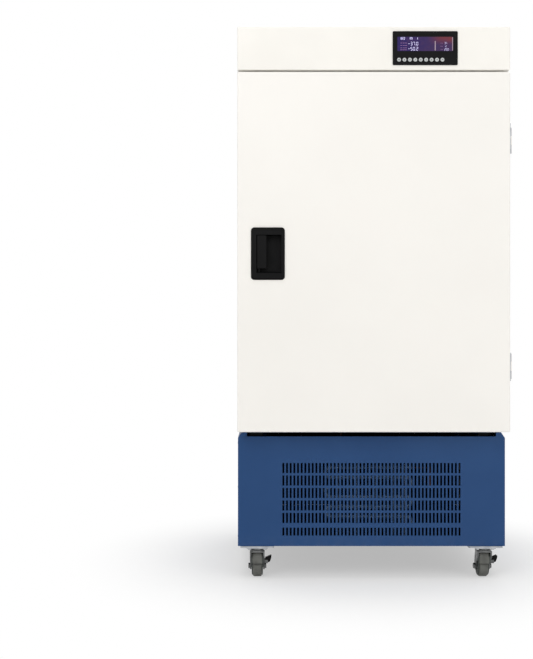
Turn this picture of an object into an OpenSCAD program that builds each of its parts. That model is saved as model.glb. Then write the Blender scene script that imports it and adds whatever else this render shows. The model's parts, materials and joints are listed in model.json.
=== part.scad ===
// Refrigerated incubator: insulated cabinet on a machine base with four casters.
// X runs to the right, Y to the back and Z up. The origin is on the floor, under the middle of the cabinet's
// width and of its depth from the door's face to the back panel.

/* [Cabinet] */
// Width over the outer casing
cab_w = 630; // [560:2:700]
// Depth from the front frame to the back panel
cab_d = 594; // [540:2:660]
// Height of the insulated cabinet, from the base to the control housing
cab_h = 840; // [750:2:930]
// Thickness of the sheet of the casing, the deck and the back panel
sheet_t = 1.5; // [1:0.1:2]
// Depth of the moulded front frame
frame_d = 17; // [16:0.5:22]

/* [Chamber] */
// Thickness of the insulated side walls
side_wall = 55; // [48:1:64]
// Thickness of the insulated floor and ceiling
end_wall = 50; // [45:1:60]
// Thickness of the insulated back wall
back_wall = 57; // [50:1:70]
// Thickness of the stainless liner
liner_t = 1; // [0.8:0.1:1.5]
// Radius of the liner's long corners
liner_r = 20; // [12:1:30]
// Depth of the air duct behind the perforated panel
duct_d = 60; // [56:1:80]
// Height of the circulation fan above the chamber's middle
fan_rise = 190; // [150:2:210]

/* [Shelves] */
// Gap between a shelf and the side wall
shelf_gap = 13; // [12:0.5:16]
// Room for the air in front of and behind a shelf
shelf_room = 30; // [24:1:50]
// Diameter of the shelf's frame rod
rod_d = 6; // [5:0.5:8]
// Diameter of the shelf's wires
wire_d = 3; // [2:0.5:4]
// Distance between shelf wires
wire_pitch = 20; // [16:1:40]
// Distance between the slots of the shelf rails
slot_pitch = 25; // [20:1:30]
// Depth of the shelf rails from the liner
rail_d = 5; // [4:0.5:8]

/* [Glass door] */
// Thickness of the glass
glass_t = 5; // [4:0.5:6]
// Width of the rebate round the chamber mouth that the glass lies in
rebate_w = 20; // [20:0.5:23]
// Running gap round the glass
glass_gap = 4; // [3:0.5:4.5]
// Diameter of the pivot pins
glass_pin_d = 6; // [5:0.5:8]

/* [Door] */
// Thickness of the door without its gasket
door_t = 48; // [40:1:60]
// Gap between the door and what lies above and below it
door_gap = 4; // [3:0.5:6]
// Gap between door and cabinet that the gasket fills
seal_gap = 8; // [7:0.5:12]
// Thickness of the door's sheet
skin_t = 1.2; // [1:0.1:2]
// Chamfer round the front edges of the door and the fascia
edge_c = 1.5; // [0.5:0.5:3]

/* [Handle] */
// Width of the handle's bezel
handle_w = 75; // [66:1:90]
// Height of the handle's bezel
handle_h = 117; // [100:1:140]
// Distance of the handle's middle from the door's free edge
handle_inset = 71; // [60:1:120]
// Width of the handle's cup
cup_w = 58; // [50:1:62]
// Height of the handle's cup
cup_h = 85; // [70:1:96]
// Depth of the handle's cup
cup_d = 28; // [20:1:32]

/* [Hinges] */
// Height of a hinge
hinge_h = 66; // [56:1:80]
// Distance between the two hinges
hinge_span = 531; // [400:1:640]
// Distance of the hinge axis from the casing's side
hinge_out = 8; // [7.5:0.5:10]
// Diameter of the hinge pin
hinge_pin_d = 6; // [4:0.5:7]

/* [Controls] */
// Height of the control housing
fascia_h = 100; // [94:1:120]
// Wall of the control fascia
fascia_wall = 3; // [2:0.5:4]
// Distance of the controller's middle from the cabinet's middle
panel_x = 118.5; // [0:0.5:200]
// Width of the controller's bezel
panel_w = 150; // [146:1:170]
// Height of the controller's bezel
panel_h = 78; // [76:1:86]
// Width of the display window
lcd_w = 129; // [100:1:132]
// Height of the display window
lcd_h = 36; // [24:1:38]
// Height of the display's middle above the controller's middle
lcd_rise = 11; // [9:0.5:13]
// Diameter of a key
key_d = 8.5; // [6:0.5:10]
// Distance between keys
key_pitch = 12.5; // [12:0.1:14]
// Distance of the row of keys below the controller's middle
key_drop = 27; // [26:0.5:29]
// Travel of a key
key_travel = 1; // [0.5:0.1:1.5]

/* [Base] */
// Height of the base's underside above the floor
ground_h = 80; // [78:1:100]
// Height of the base
base_h = 270; // [264:2:320]
// Wall of the base panels
base_wall = 3; // [2:0.5:4]
// Width of the chamfer round the base's top
rim_w = 10; // [5:1:15]
// Height of the chamfer round the base's top
rim_h = 15; // [8:1:20]
// Height of the air slot along the top of the base's front
air_slot_h = 11.5; // [4:0.5:14]
// Distance of the air slot from the base's sides
air_inset = 21; // [18:1:40]
// Distance of the vent field from the base's sides
vent_margin = 104; // [80:1:150]
// Distance between vent columns
vent_pitch = 8.66; // [8:0.02:12]
// Width of a vent slot
vent_slot_w = 4.6; // [3:0.2:6]
// Height of the bridge between two vent rows
vent_bridge = 5.4; // [3:0.2:8]
// Height of the slots in the lowest row
low_slot_h = 19; // [14:0.5:24]
// Distance of the vent field's top below the base's top
vent_drop = 74; // [50:1:80]
// Distance of the vent field's foot above the base's underside
vent_foot = 24.6; // [20:0.2:40]

/* [Casters] */
// Diameter of a wheel
wheel_d = 50; // [44:1:52]
// Width of a wheel's tread
wheel_w = 21; // [16:0.5:24]
// Distance of the wheel's axle behind the swivel axis
trail = 18; // [14:0.5:22]
// Diameter of the wheel's axle
axle_d = 8; // [6:0.5:10]
// Diameter of the swivel pin
king_d = 10; // [8:0.5:12]
// Distance of the swivel axis from the casing's side
caster_inset = 45.5; // [42:0.5:60]

/* [Cable port] */
// Bore of the port's sleeve
port_d = 42; // [30:1:50]
// Wall of the port's sleeve
port_wall = 4; // [2:0.5:5]
// Height of the port above the chamber's middle
port_rise = 120; // [40:1:160]

/* [Hidden] */
$fn = 48;

white = [0.95, 0.94, 0.91];
blue = [0.18, 0.30, 0.46];
black = [0.10, 0.10, 0.11];
stainless = [0.75, 0.76, 0.77];
zinc = [0.68, 0.69, 0.70];
foam = [0.93, 0.88, 0.70];
grey_rubber = [0.36, 0.36, 0.35];
copper = [0.72, 0.45, 0.30];

// Fits: running pins have a twentieth of a millimetre all round, loose pieces a few tenths.
run_gap = 0.05;
loose_gap = 0.25;
seat_gap = 0.3;

// Main planes
half_w = cab_w / 2;
chamber_w = cab_w - 2 * side_wall;
chamber_h = cab_h - 2 * end_wall;
chamber_d = cab_d - frame_d - back_wall;
y_door = -(door_t + seal_gap + cab_d) / 2;
y_door_back = y_door + door_t;
y_cab = y_door_back + seal_gap;
y_back = y_cab + cab_d;
z_cab = ground_h + base_h;
z_deck = z_cab + cab_h;
z_all = z_deck + fascia_h;
z_mid = z_cab + cab_h / 2;
in_w = half_w - sheet_t;
in_back = y_back - sheet_t;
y_liner = y_cab + frame_d;
y_liner_back = y_liner + chamber_d;
y_duct = y_liner_back - duct_d;

// Glass door
rebate_d = frame_d - 3;
y_rebate = y_cab + rebate_d;
y_glass = y_cab + glass_t;
glass_w = chamber_w + 2 * (rebate_w - glass_gap);
glass_h = chamber_h + 2 * (rebate_w - glass_gap);
pivot_in = glass_t / 2 + 4.5;
pivot_x = glass_w / 2 - pivot_in;
seal_w = 4;

// Door
door_h = cab_h - 2 * door_gap;
liner_sheet = 2;
gasket_w = 18;
gasket_x = half_w - 29;
gasket_r = 10;

// Handle
handle_x = handle_inset - half_w;
handle_z = z_mid - 3;
handle_r = 6;
bezel_t = 2.5;
cup_wall = 2.5;
cup_x = handle_x + 2;
paddle_x = cup_x - cup_w / 2 + 6;
paddle_y = y_door + 3;
paddle_w = 21;
paddle_h = cup_h - 9;
paddle_z = handle_z + 3;
trunnion_d = 4;

// Hinges
hinge_x = half_w + hinge_out;
hinge_y = y_door_back + seal_gap / 2;
hinge_plate = 3;
knuckle_r = hinge_out - 1;
knuckle_h = 22;

// Controls
panel_z = z_deck + fascia_h / 2;
panel_proud = 2;
panel_body_d = 17;
panel_lip = 4;
key_count = 9;
key_x = panel_x - 10.5;
key_z = panel_z - key_drop;
key_bore = key_d + 2 * loose_gap;
y_pcb = y_door + panel_body_d;

// Base
vent_w = cab_w - 2 * vent_margin;
vent_cols = floor((vent_w - vent_slot_w) / vent_pitch) + 1;
vent_rows = 5;
vent_row_pitch = (base_h - vent_drop - vent_foot - low_slot_h - vent_bridge) / vent_rows;
vent_slot_h = vent_row_pitch - vent_bridge;
wrap_d = 14;
pan_t = 2;
post_w = 30;

// Casters
caster_x = half_w - caster_inset;
caster_front = y_cab + 25;
caster_rear = y_back - 51;
bracket_t = 4;
plate_t = 2.5;
z_plate = ground_h - bracket_t - plate_t;
axle_z = wheel_d / 2;
fork_in = 14;
fork_leg = 3.5;
fork_out = fork_in + fork_leg;
fork_boss_r = 9;
pedal_x = fork_out + 4.5;
pedal_z = 38;
pedal_y = 11;
pedal_pin_d = 4;

// Cable port
port_y = y_liner + 300;
port_z = z_mid + port_rise;
shelf_w = chamber_w - 2 * shelf_gap;
shelf_d = y_duct - y_liner - 2 * shelf_room;
port_hole_r = port_d / 2 + port_wall + loose_gap;

// Air duct
fan_z = z_mid + fan_rise;
fan_r = 84;
fan_shaft_d = 6;

// Refrigeration unit
comp_x = half_w - 165;
comp_y = y_back - 130;
comp_r = 74;
cond_w = 176;
cond_y = y_cab + 60;
cond_d = 40;
cond_rows = 7;
cond_pitch = 24;
cond_z = ground_h + 32;
cond_fan_z = ground_h + 96;
cond_fan_s = 172;
cond_fan_y = cond_y + cond_d + 5;
cond_fan_d = 38;
tube_d = 9.5;
pipe_d = 8;

// Builds a box from its low and high corners
module box(x0, x1, y0, y1, z0, z1) translate([x0, y0, z0]) cube([x1 - x0, y1 - y0, z1 - z0]);

// Carries an outline drawn in the front view (X, Z) from y0 to y1
module along_y(y0, y1) translate([0, y1, 0]) rotate([90, 0, 0]) linear_extrude(y1 - y0) children();

// Carries an outline drawn in the side view (Y, Z) from x0 to x1
module along_x(x0, x1) translate([x0, 0, 0]) rotate([90, 0, 90]) linear_extrude(x1 - x0) children();

// A round bar along X, Y or Z
module bar_x(x0, x1, d) translate([x0, 0, 0]) rotate([0, 90, 0]) cylinder(d = d, h = x1 - x0);
module bar_y(y0, y1, d) translate([0, y1, 0]) rotate([90, 0, 0]) cylinder(d = d, h = y1 - y0);
module bar_z(z0, z1, d) translate([0, 0, z0]) cylinder(d = d, h = z1 - z0);

// A rectangle with round corners, centred
module rrect(w, h, r) {
    square([w, h - 2 * r], center = true);
    square([w - 2 * r, h], center = true);
    for (sx = [-1, 1], sz = [-1, 1]) translate([sx * (w / 2 - r), sz * (h / 2 - r)]) circle(r);
}

// A ring between two such rectangles, w wide
module rring(w, h, r, wall) {
    difference() {
        rrect(w, h, r);
        rrect(w - 2 * wall, h - 2 * wall, max(r - wall, 0.5));
    }
}

// A front cover: a plate from y0 to y1 whose front edges are chamfered
module cover_block(w, h, r, y0, y1) {
    intersection() {
        along_y(y0, y1) rrect(w, h, r);
        translate([0, 0, -h]) linear_extrude(2 * h)
            polygon([[-w / 2, y1], [-w / 2, y0 + edge_c], [edge_c - w / 2, y0],
                     [w / 2 - edge_c, y0], [w / 2, y0 + edge_c], [w / 2, y1]]);
        along_x(-w, w)
            polygon([[y1, -h / 2], [y0 + edge_c, -h / 2], [y0, edge_c - h / 2],
                     [y0, h / 2 - edge_c], [y0 + edge_c, h / 2], [y1, h / 2]]);
    }
}

// Outer casing: one sheet bent over the two sides and the top
module outer_casing() {
    color(white) difference() {
        box(-half_w, half_w, y_cab, y_back, z_cab, z_all);
        box(-in_w, in_w, y_cab - 1, y_back + 1, z_cab - 1, z_all - sheet_t);
        translate([0, port_y, port_z]) bar_x(-half_w - 1, 0, 2 * port_hole_r);
    }
}

// Back panel with two fields of cooling slots for the control housing
inlet_x = 85 - half_w;
inlet_w = 30;
inlet_h = 22;
module back_panel() {
    slot_n = 9;
    color(white) along_y(in_back, y_back) difference() {
        translate([-in_w, z_cab]) square([2 * in_w, cab_h + fascia_h - sheet_t]);
        for (i = [0:slot_n - 1], x = [60 - vent_w / 4, 60, 60 + vent_w / 4])
            translate([x, z_deck + 20 + 7 * i]) rrect(86, 3, 1.4);
        translate([inlet_x, panel_z]) square([inlet_w + 2 * loose_gap, inlet_h + 2 * loose_gap], center = true);
    }
}

// Front moulding of the control housing, open at the back
module control_fascia() {
    color(white) difference() {
        translate([0, 0, panel_z]) cover_block(cab_w, fascia_h, 3, y_door, y_cab);
        box(-half_w + fascia_wall, half_w - fascia_wall, y_door + fascia_wall, y_cab + 1,
            z_deck + fascia_wall, z_all - fascia_wall);
        translate([panel_x, 0, panel_z]) along_y(y_door - 1, y_door + fascia_wall + 1)
            rrect(panel_w - 2 * panel_lip + 2 * loose_gap, panel_h - 2 * panel_lip + 2 * loose_gap, 2);
    }
}

// Floor of the control housing, with an upstand at the front
module control_deck() {
    color(zinc) difference() {
        union() {
            box(-in_w, in_w, y_cab, in_back, z_deck, z_deck + sheet_t);
            box(-in_w, in_w, y_cab + 20, y_cab + 20 + sheet_t, z_deck, z_deck + 30);
        }
        translate([panel_x, 0, z_deck + 18]) bar_y(y_cab + 10, y_cab + 30, 16);
    }
}

// Transformer, two solid-state relays on finned sinks and a terminal strip, all on the deck
module control_electronics() {
    z0 = z_deck + sheet_t;
    color([0.30, 0.34, 0.32]) {
        box(-40, 50, y_cab + 329, y_cab + 399, z0, z0 + 62);
        box(-46, 56, y_cab + 343, y_cab + 385, z0, z0 + 50);
    }
    color(zinc) for (x = [half_w - 185, half_w - 115]) {
        box(x - 24, x + 24, y_cab + 329, y_cab + 409, z0, z0 + 4);
        for (i = [-3:3]) box(x + 7 * i - 1, x + 7 * i + 1, y_cab + 329, y_cab + 409, z0 + 4, z0 + 34);
    }
    color(black) difference() {
        box(65 - half_w, 205 - half_w, y_cab + 369, y_cab + 391, z0, z0 + 18);
        for (i = [0:8]) translate([75 - half_w + 15 * i, y_cab + 380, z0 + 6]) bar_z(0, 20, 7);
    }
}

// Black bezel of the controller: window, nine key bores and a shell that passes through the fascia
module controller_bezel() {
    body_w = panel_w - 2 * panel_lip;
    body_h = panel_h - 2 * panel_lip;
    color(black) translate([panel_x, 0, panel_z]) difference() {
        union() {
            along_y(y_door - panel_proud, y_door) rrect(panel_w, panel_h, 3);
            along_y(y_door, y_pcb) rrect(body_w, body_h, 1.5);
        }
        along_y(y_door + 1, y_pcb + 1) rrect(body_w - 4, body_h - 4, 1);
        along_y(y_door - panel_proud - 1, y_door + 2) translate([0, lcd_rise]) rrect(lcd_w, lcd_h, 1.5);
        for (i = [0:key_count - 1])
            translate([key_x - panel_x + (i - (key_count - 1) / 2) * key_pitch, 0, -key_drop])
                bar_y(y_door - panel_proud - 1, y_door + 2, key_bore);
    }
}

// Display on its board: the glass fills the window, the board closes the bezel's back
module display_module() {
    color([0.20, 0.16, 0.42]) translate([panel_x, 0, panel_z]) {
        along_y(y_door - panel_proud + 0.8, y_door + 1 + seat_gap)
            translate([0, lcd_rise]) rrect(lcd_w - 2 * loose_gap, lcd_h - 2 * loose_gap, 1.2);
        along_y(y_door + 1 + seat_gap, y_pcb) translate([0, lcd_rise]) rrect(lcd_w + 3, lcd_h + 3, 1);
        along_y(y_pcb, y_pcb + 1.6) rrect(panel_w - 2 * panel_lip - 1, panel_h - 2 * panel_lip - 1, 1);
    }
}

// One key: cap, retaining flange and stem down to its switch
module key(n) {
    y0 = y_door - panel_proud - 1.2;
    y_flange = y_door + 1 + seat_gap;
    color([0.80, 0.81, 0.80])
        translate([key_x + (n - (key_count + 1) / 2) * key_pitch, 0, key_z]) {
            bar_y(y0, y_flange, key_d);
            bar_y(y_flange, y_flange + 1.2, key_d + 1.6);
            bar_y(y_flange + 1.2, y_pcb - key_travel - 0.2, 4);
        }
}

// Mains inlet: a flanged socket with three blades
module mains_inlet() {
    color(black) translate([inlet_x, 0, panel_z]) {
        difference() {
            union() {
                along_y(y_back, y_back + 2.5) rrect(50, 28, 3);
                along_y(y_back - 22, y_back) rrect(inlet_w, inlet_h, 2);
            }
            along_y(y_back - 15, y_back + 3) rrect(24, 16.5, 3);
            for (s = [-1, 1]) translate([s * 20, 0, 0]) bar_y(y_back - 1, y_back + 3, 3.4);
        }
        for (s = [-1, 0, 1])
            translate([7 * s, 0, s == 0 ? 4 : 1]) along_y(y_back - 15, y_back - 3) square([2, 4], center = true);
    }
}

// Front frame: a stepped moulding whose rebate takes the glass door and whose two bores take its pins
module front_frame() {
    z0 = z_cab + sheet_t;
    color(white) difference() {
        box(-in_w, in_w, y_cab, y_liner, z0, z_deck);
        translate([0, 0, z_mid]) along_y(y_cab - 1, y_rebate)
            rrect(chamber_w + 2 * rebate_w, chamber_h + 2 * rebate_w, 5);
        translate([0, 0, z_mid]) along_y(y_cab, y_liner + 1) rrect(chamber_w, chamber_h, liner_r);
        translate([pivot_x, y_cab + glass_t / 2 + 2.5, z_mid])
            for (s = [-1, 1]) translate([0, 0, s * (chamber_h / 2 + rebate_w)])
                translate([0, 0, -9]) cylinder(r = glass_pin_d / 2 + run_gap, h = 18);
    }
}

// Foamed insulation between casing and liner
module foam_body() {
    z0 = z_cab + sheet_t;
    color(foam) difference() {
        box(-in_w, in_w, y_liner, in_back, z0, z_deck);
        translate([0, 0, z_mid]) along_y(y_liner - 1, y_liner_back + liner_t)
            rrect(chamber_w + 2 * liner_t, chamber_h + 2 * liner_t, liner_r + liner_t);
        translate([0, port_y, port_z]) bar_x(-half_w - 1, 0, 2 * port_hole_r);
    }
}

// Stainless liner of the chamber, open at the front
module chamber_liner() {
    color(stainless) translate([0, 0, z_mid]) difference() {
        along_y(y_liner, y_liner_back + liner_t)
            rrect(chamber_w + 2 * liner_t, chamber_h + 2 * liner_t, liner_r + liner_t);
        along_y(y_liner - 1, y_liner_back) rrect(chamber_w, chamber_h, liner_r);
        translate([0, port_y, port_rise]) bar_x(-half_w - 1, 0, 2 * port_hole_r);
    }
}

// Perforated panel in front of the duct, with slots above and below and a round fan grille
module duct_panel() {
    panel_half = chamber_w / 2 - liner_r;
    h = chamber_h - 30;
    color(stainless) translate([0, 0, z_mid]) {
        along_y(y_duct, y_duct + 1.2) difference() {
            square([2 * panel_half, h], center = true);
            for (s = [-1, 1], row = [0:2], i = [-5:5])
                translate([40 * i, s * (h / 2 - 26 - 18 * row)]) rrect(26, 7, 3);
            translate([0, fan_rise]) difference() {
                for (r = [16:14:72]) difference() {
                    circle(r + 4.5);
                    circle(r - 4.5);
                }
                for (a = [0:60:120]) rotate(a) square([160, 6], center = true);
            }
        }
        for (s = [-1, 1]) box(s > 0 ? panel_half - 1.2 : -panel_half, s > 0 ? panel_half : 1.2 - panel_half,
                              y_duct + 1.2, y_liner_back, -h / 2, h / 2);
    }
    color(zinc) translate([150, 0, z_mid + fan_rise - 60]) {
        translate([0, y_duct - 6, 0]) bar_z(-45, 45, 6);
        for (s = [-1, 1]) translate([0, 0, 30 * s]) box(-5, 5, y_duct - 10, y_duct + 0.6, -3, 3);
    }
}

// Motor of the circulation fan on the chamber's back wall
module circulation_motor() {
    color(zinc) translate([0, 0, fan_z]) difference() {
        union() {
            bar_y(y_liner_back - 22, y_liner_back - 3, 62);
            bar_y(y_liner_back - 3, y_liner_back, 84);
            bar_y(y_liner_back - 25, y_liner_back - 22, 20);
        }
        bar_y(y_liner_back - 26, y_liner_back - 6, fan_shaft_d + 2 * run_gap);
        for (a = [45:90:315]) rotate([0, a, 0]) translate([36, 0, 0]) bar_y(y_liner_back - 4, y_liner_back + 1, 4.5);
    }
}

// Circulation fan: back disc, hub, shaft and nine blades, each an arc
module circulation_fan() {
    y0 = y_duct + 8;
    y1 = y_liner_back - 30;
    color([0.55, 0.57, 0.58]) translate([0, 0, fan_z]) {
        bar_y(y1 - 1.5, y1, 2 * fan_r);
        bar_y(y0 - 2, y1, 30);
        bar_y(y1, y_liner_back - 8, fan_shaft_d);
        along_y(y0, y1 - 1.5) for (a = [0:40:320]) rotate(a) intersection() {
            translate([42, 34]) difference() {
                circle(50);
                circle(48);
            }
            difference() {
                circle(fan_r - 2);
                circle(48);
            }
            translate([0, -fan_r]) square([fan_r, fan_r]);
        }
    }
}

// Finned evaporator in the duct: one tube in four passes
module evaporator() {
    half = chamber_w / 2 - 84;
    z0 = z_mid - 250;
    y0 = y_liner_back - 30;
    pitch = 34;
    color([0.80, 0.81, 0.82]) {
        for (i = [0:3]) translate([0, y0, z0 + pitch * i]) bar_x(-half - 8, half + 8, tube_d);
        for (i = [0:2]) {
            s = i % 2 == 0 ? 1 : -1;
            translate([s * (half + 8), y0, z0 + pitch * (i + 0.5)]) rotate([90, 0, 0])
                rotate([0, 0, s > 0 ? -90 : 90]) rotate_extrude(angle = 180) translate([pitch / 2, 0]) circle(d = tube_d);
        }
        for (s = [-1, 1]) translate([s * half, 0, 0])
            box(-1, 1, y0 - 18, y_liner_back, z0 - 18, z0 + 3 * pitch + 18);
        for (i = [-6:6]) box(half * i / 7.3 - 0.5, half * i / 7.3 + 0.5, y0 - 15, y0 + 15, z0 - 15, z0 + 3 * pitch + 15);
    }
}

// Sheathed heater bent to a ring round the fan, its two ends fixed to the back wall
module heater_ring() {
    ring_r = 98;
    y0 = y_liner_back - 24;
    color([0.42, 0.40, 0.38]) translate([0, 0, fan_z]) {
        translate([0, y0, 0]) rotate([90, 0, 0]) rotate([0, 0, -75])
            rotate_extrude(angle = 330) translate([ring_r, 0]) circle(d = pipe_d);
        for (a = [-75, 255]) translate([ring_r * cos(a), 0, ring_r * sin(a)]) bar_y(y0 - 6, y_liner_back, pipe_d + 2);
    }
}

// Four slotted rails on the chamber's side walls with a clip under each end of each shelf
rail_w = 16;
rail_wall = 1.2;
rail_h = chamber_h - 70;
rail_x = chamber_w / 2 - rail_d;
rail_y = [y_liner + 60, y_duct - 70];
rail_z = z_mid - rail_h / 2;
rail_slots = floor((rail_h - 30) / slot_pitch);
shelf_slots = [for (k = [1:3]) round(k * rail_slots / 4)];
function slot_z(i) = rail_z + 15 + i * slot_pitch;
function shelf_z(k) = slot_z(shelf_slots[k]) + 18;
module shelf_rails() {
    color(stainless) for (s = [-1, 1], y = rail_y) scale([s, 1, 1]) {
        translate([0, y, 0]) difference() {
            box(rail_x, chamber_w / 2, -rail_w / 2, rail_w / 2, rail_z, rail_z + rail_h);
            box(rail_x + rail_wall, chamber_w / 2 + 1, rail_wall - rail_w / 2, rail_w / 2 - rail_wall,
                rail_z - 1, rail_z + rail_h + 1);
            for (i = [0:rail_slots]) box(rail_x - 1, rail_x + 2, -3.5, 3.5, slot_z(i) - 4, slot_z(i) + 4);
        }
        for (k = [0:2]) {
            z0 = shelf_z(k) - rod_d / 2 - 0.1;
            translate([0, y, 0]) along_clip(z0, slot_z(shelf_slots[k]));
        }
    }
}

// One clip: a hook through the slot, a back and a tray under the shelf's rod
module along_clip(z_top, z_slot) {
    rod_x = shelf_w / 2 - rod_d / 2;
    x1 = rail_x;
    x0 = rod_x - rod_d;
    translate([0, 6, 0]) rotate([90, 0, 0]) linear_extrude(12)
        polygon([[x1, z_slot - 6], [x1, z_top + 2], [x1 - 2, z_top + 2], [x1 - 2, z_top],
                 [x0 + 1.5, z_top], [x0 + 1.5, z_top + 2], [x0, z_top + 2], [x0, z_top - 2],
                 [x1 - 2, z_top - 2], [x1 - 2, z_slot - 6]]);
    box(x1, x1 + 3, -3, 3, z_slot - 3, z_slot + 1);
}

// Three wire shelves: a round-cornered rod frame, wires from front to back and one rod under them
module wire_shelves() {
    color(stainless) for (k = [0:2]) translate([0, (rail_y[0] + rail_y[1]) / 2, shelf_z(k)]) wire_shelf();
}

module wire_shelf() {
    hw = (shelf_w - rod_d) / 2;
    hd = (shelf_d - rod_d) / 2;
    r = 18;
    n = floor((hw - r) / wire_pitch);
    for (s = [-1, 1]) {
        translate([0, s * hd, 0]) bar_x(-hw + r, hw - r, rod_d);
        translate([s * hw, 0, 0]) bar_y(-hd + r, hd - r, rod_d);
        for (t = [-1, 1]) translate([s * (hw - r), t * (hd - r), 0])
            rotate([0, 0, s > 0 ? (t > 0 ? 0 : -90) : (t > 0 ? 90 : 180)])
                rotate_extrude(angle = 90) translate([r, 0]) circle(d = rod_d);
    }
    for (i = [-n:n]) translate([i * wire_pitch, 0, 0]) bar_y(-hd, hd, wire_d);
    translate([0, 0, 0.9 - (wire_d + rod_d) / 2]) bar_x(-hw + 2, hw - 2, rod_d - 1);
}

// Lamp under the chamber's ceiling
module chamber_lamp() {
    z1 = z_mid + chamber_h / 2;
    color([0.92, 0.93, 0.95]) translate([0, y_liner + 24, 0]) {
        along_x(-130, 130) polygon([[-14, z1], [14, z1], [14, z1 - 5], [9, z1 - 12], [-9, z1 - 12], [-14, z1 - 5]]);
        for (s = [-1, 1]) box(132 * s - 6, 132 * s + 6, -12, 12, z1 - 10, z1);
    }
}

// Sleeve of the cable port through the left wall, with a flange outside
module port_sleeve() {
    x0 = -half_w;
    color([0.85, 0.85, 0.83]) translate([0, port_y, port_z]) difference() {
        union() {
            bar_x(x0, -chamber_w / 2, port_d + 2 * port_wall);
            bar_x(x0 - 2, x0, port_d + 2 * port_wall + 12);
        }
        bar_x(x0 - 4, -chamber_w / 2 + 1, port_d);
    }
}

// Silicone plug of the cable port
module port_plug() {
    x0 = -half_w - 2 - seat_gap;
    color([0.88, 0.88, 0.86]) translate([0, port_y, port_z]) {
        bar_x(x0, -chamber_w / 2 - 4, port_d - 2 * seat_gap);
        difference() {
            bar_x(x0 - 5, x0, port_d + 8);
            bar_x(x0 - 6, x0 - 3, port_d - 8);
        }
        bar_x(x0 - 5, x0 - 2, 12);
    }
}

// Silicone seal that the glass door closes on
module glass_seal() {
    color([0.86, 0.87, 0.86]) translate([0, 0, z_mid]) {
        along_y(y_rebate - 2, y_rebate) rring(chamber_w + 2 + 2 * seal_w, chamber_h + 2 + 2 * seal_w, 20, seal_w);
        along_y(y_cab + 2.5 + glass_t + 0.3, y_rebate - 2) difference() {
            rring(chamber_w + 2 * seal_w, chamber_h + 2 * seal_w, 20, seal_w - 1);
            for (s = [-1, 1]) translate([glass_w / 2, s * glass_h / 2]) square([64, 56], center = true);
            translate([-glass_w / 2, 0]) square([32, 52], center = true);
        }
    }
}

// Pane of the inner door, which turns on two pins at its right edge
module glass_pane() {
    y0 = y_cab + 2.5;
    color([0.80, 0.90, 0.90, 0.35]) translate([0, 0, z_mid]) difference() {
        along_y(y0, y0 + glass_t) rrect(glass_w, glass_h, 4);
        for (s = [-1, 1]) translate([pivot_x - 8, 0, s * (glass_h / 2 - 14)]) bar_y(y0 - 1, y0 + glass_t + 1, 8);
    }
}

// Corner clamps with pivot pins, and the finger clip on the free edge
module glass_fittings() {
    y0 = y_cab + 2.5;
    ym = y0 + glass_t / 2;
    clamp_t = glass_t + 3.6;
    x1 = glass_w / 2 + 0.4;
    zc = glass_h / 2;
    color([0.78, 0.79, 0.80]) translate([0, 0, z_mid]) {
        for (s = [-1, 1]) scale([1, 1, s]) {
            difference() {
                box(x1 - 30, x1 - 1, ym - clamp_t / 2, ym + clamp_t / 2, zc - 26, zc + 1.6);
                box(x1 - 31, x1 + 1, y0, y0 + glass_t, zc - 27, zc);
            }
            translate([pivot_x - 8, 0, zc - 14]) bar_y(ym - clamp_t / 2, ym + clamp_t / 2, 7.9);
            translate([pivot_x, ym, 0]) bar_z(zc + 1.6, chamber_h / 2 + rebate_w + 8, glass_pin_d);
        }
        difference() {
            box(-glass_w / 2 - 1.6, 14 - glass_w / 2, ym - clamp_t / 2, ym + clamp_t / 2, -24, 24);
            box(-glass_w / 2, 20 - glass_w / 2, y0, y0 + glass_t, -25, 25);
        }
    }
}

// Cabinet halves of the two hinges: plate, middle knuckle and the pin through both halves
module cabinet_hinges() {
    arm = knuckle_h - 0.6;
    color(zinc) for (s = [-1, 1]) translate([0, 0, z_mid + s * hinge_span / 2]) {
        box(half_w, half_w + hinge_plate, y_cab + 4, y_cab + 38, -hinge_h / 2, hinge_h / 2);
        translate([hinge_x, hinge_y, 0]) {
            bar_z(-arm / 2, arm / 2, 2 * knuckle_r);
            bar_z(-hinge_h / 2 + 2, hinge_h / 2 - 2, hinge_pin_d);
        }
        box(half_w + 0.5, hinge_x, hinge_y, y_cab + 8, -arm / 2, arm / 2);
        for (z = [-22, 22]) translate([half_w + hinge_plate, y_cab + 24, z]) bar_x(0, 2.5, 9);
    }
}

// Door halves of the hinges: plate and two bored knuckles
module door_hinges() {
    color(zinc) for (s = [-1, 1]) translate([0, 0, z_mid + s * hinge_span / 2]) {
        box(half_w, half_w + hinge_plate, y_door + 8, y_door_back - 5, -hinge_h / 2, hinge_h / 2);
        for (t = [-1, 1]) scale([1, 1, t]) difference() {
            union() {
                translate([hinge_x, hinge_y, 0]) bar_z(knuckle_h / 2, hinge_h / 2 - 3, 2 * knuckle_r - 1);
                box(half_w + 0.5, hinge_x, y_door_back - 9, hinge_y, knuckle_h / 2, hinge_h / 2 - 3);
            }
            translate([hinge_x, hinge_y, 0]) bar_z(0, hinge_h, hinge_pin_d + 2 * run_gap);
        }
        for (z = [-22, 22]) translate([half_w + hinge_plate, y_door + 22, z]) bar_x(0, 2.5, 9);
    }
}

// The opening that the handle's cup passes through
module handle_hole(extra) {
    translate([cup_x, handle_z - z_mid])
        rrect(cup_w + 2 * cup_wall + 2 * extra, cup_h + 2 * cup_wall + 2 * extra, 2);
}

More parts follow.
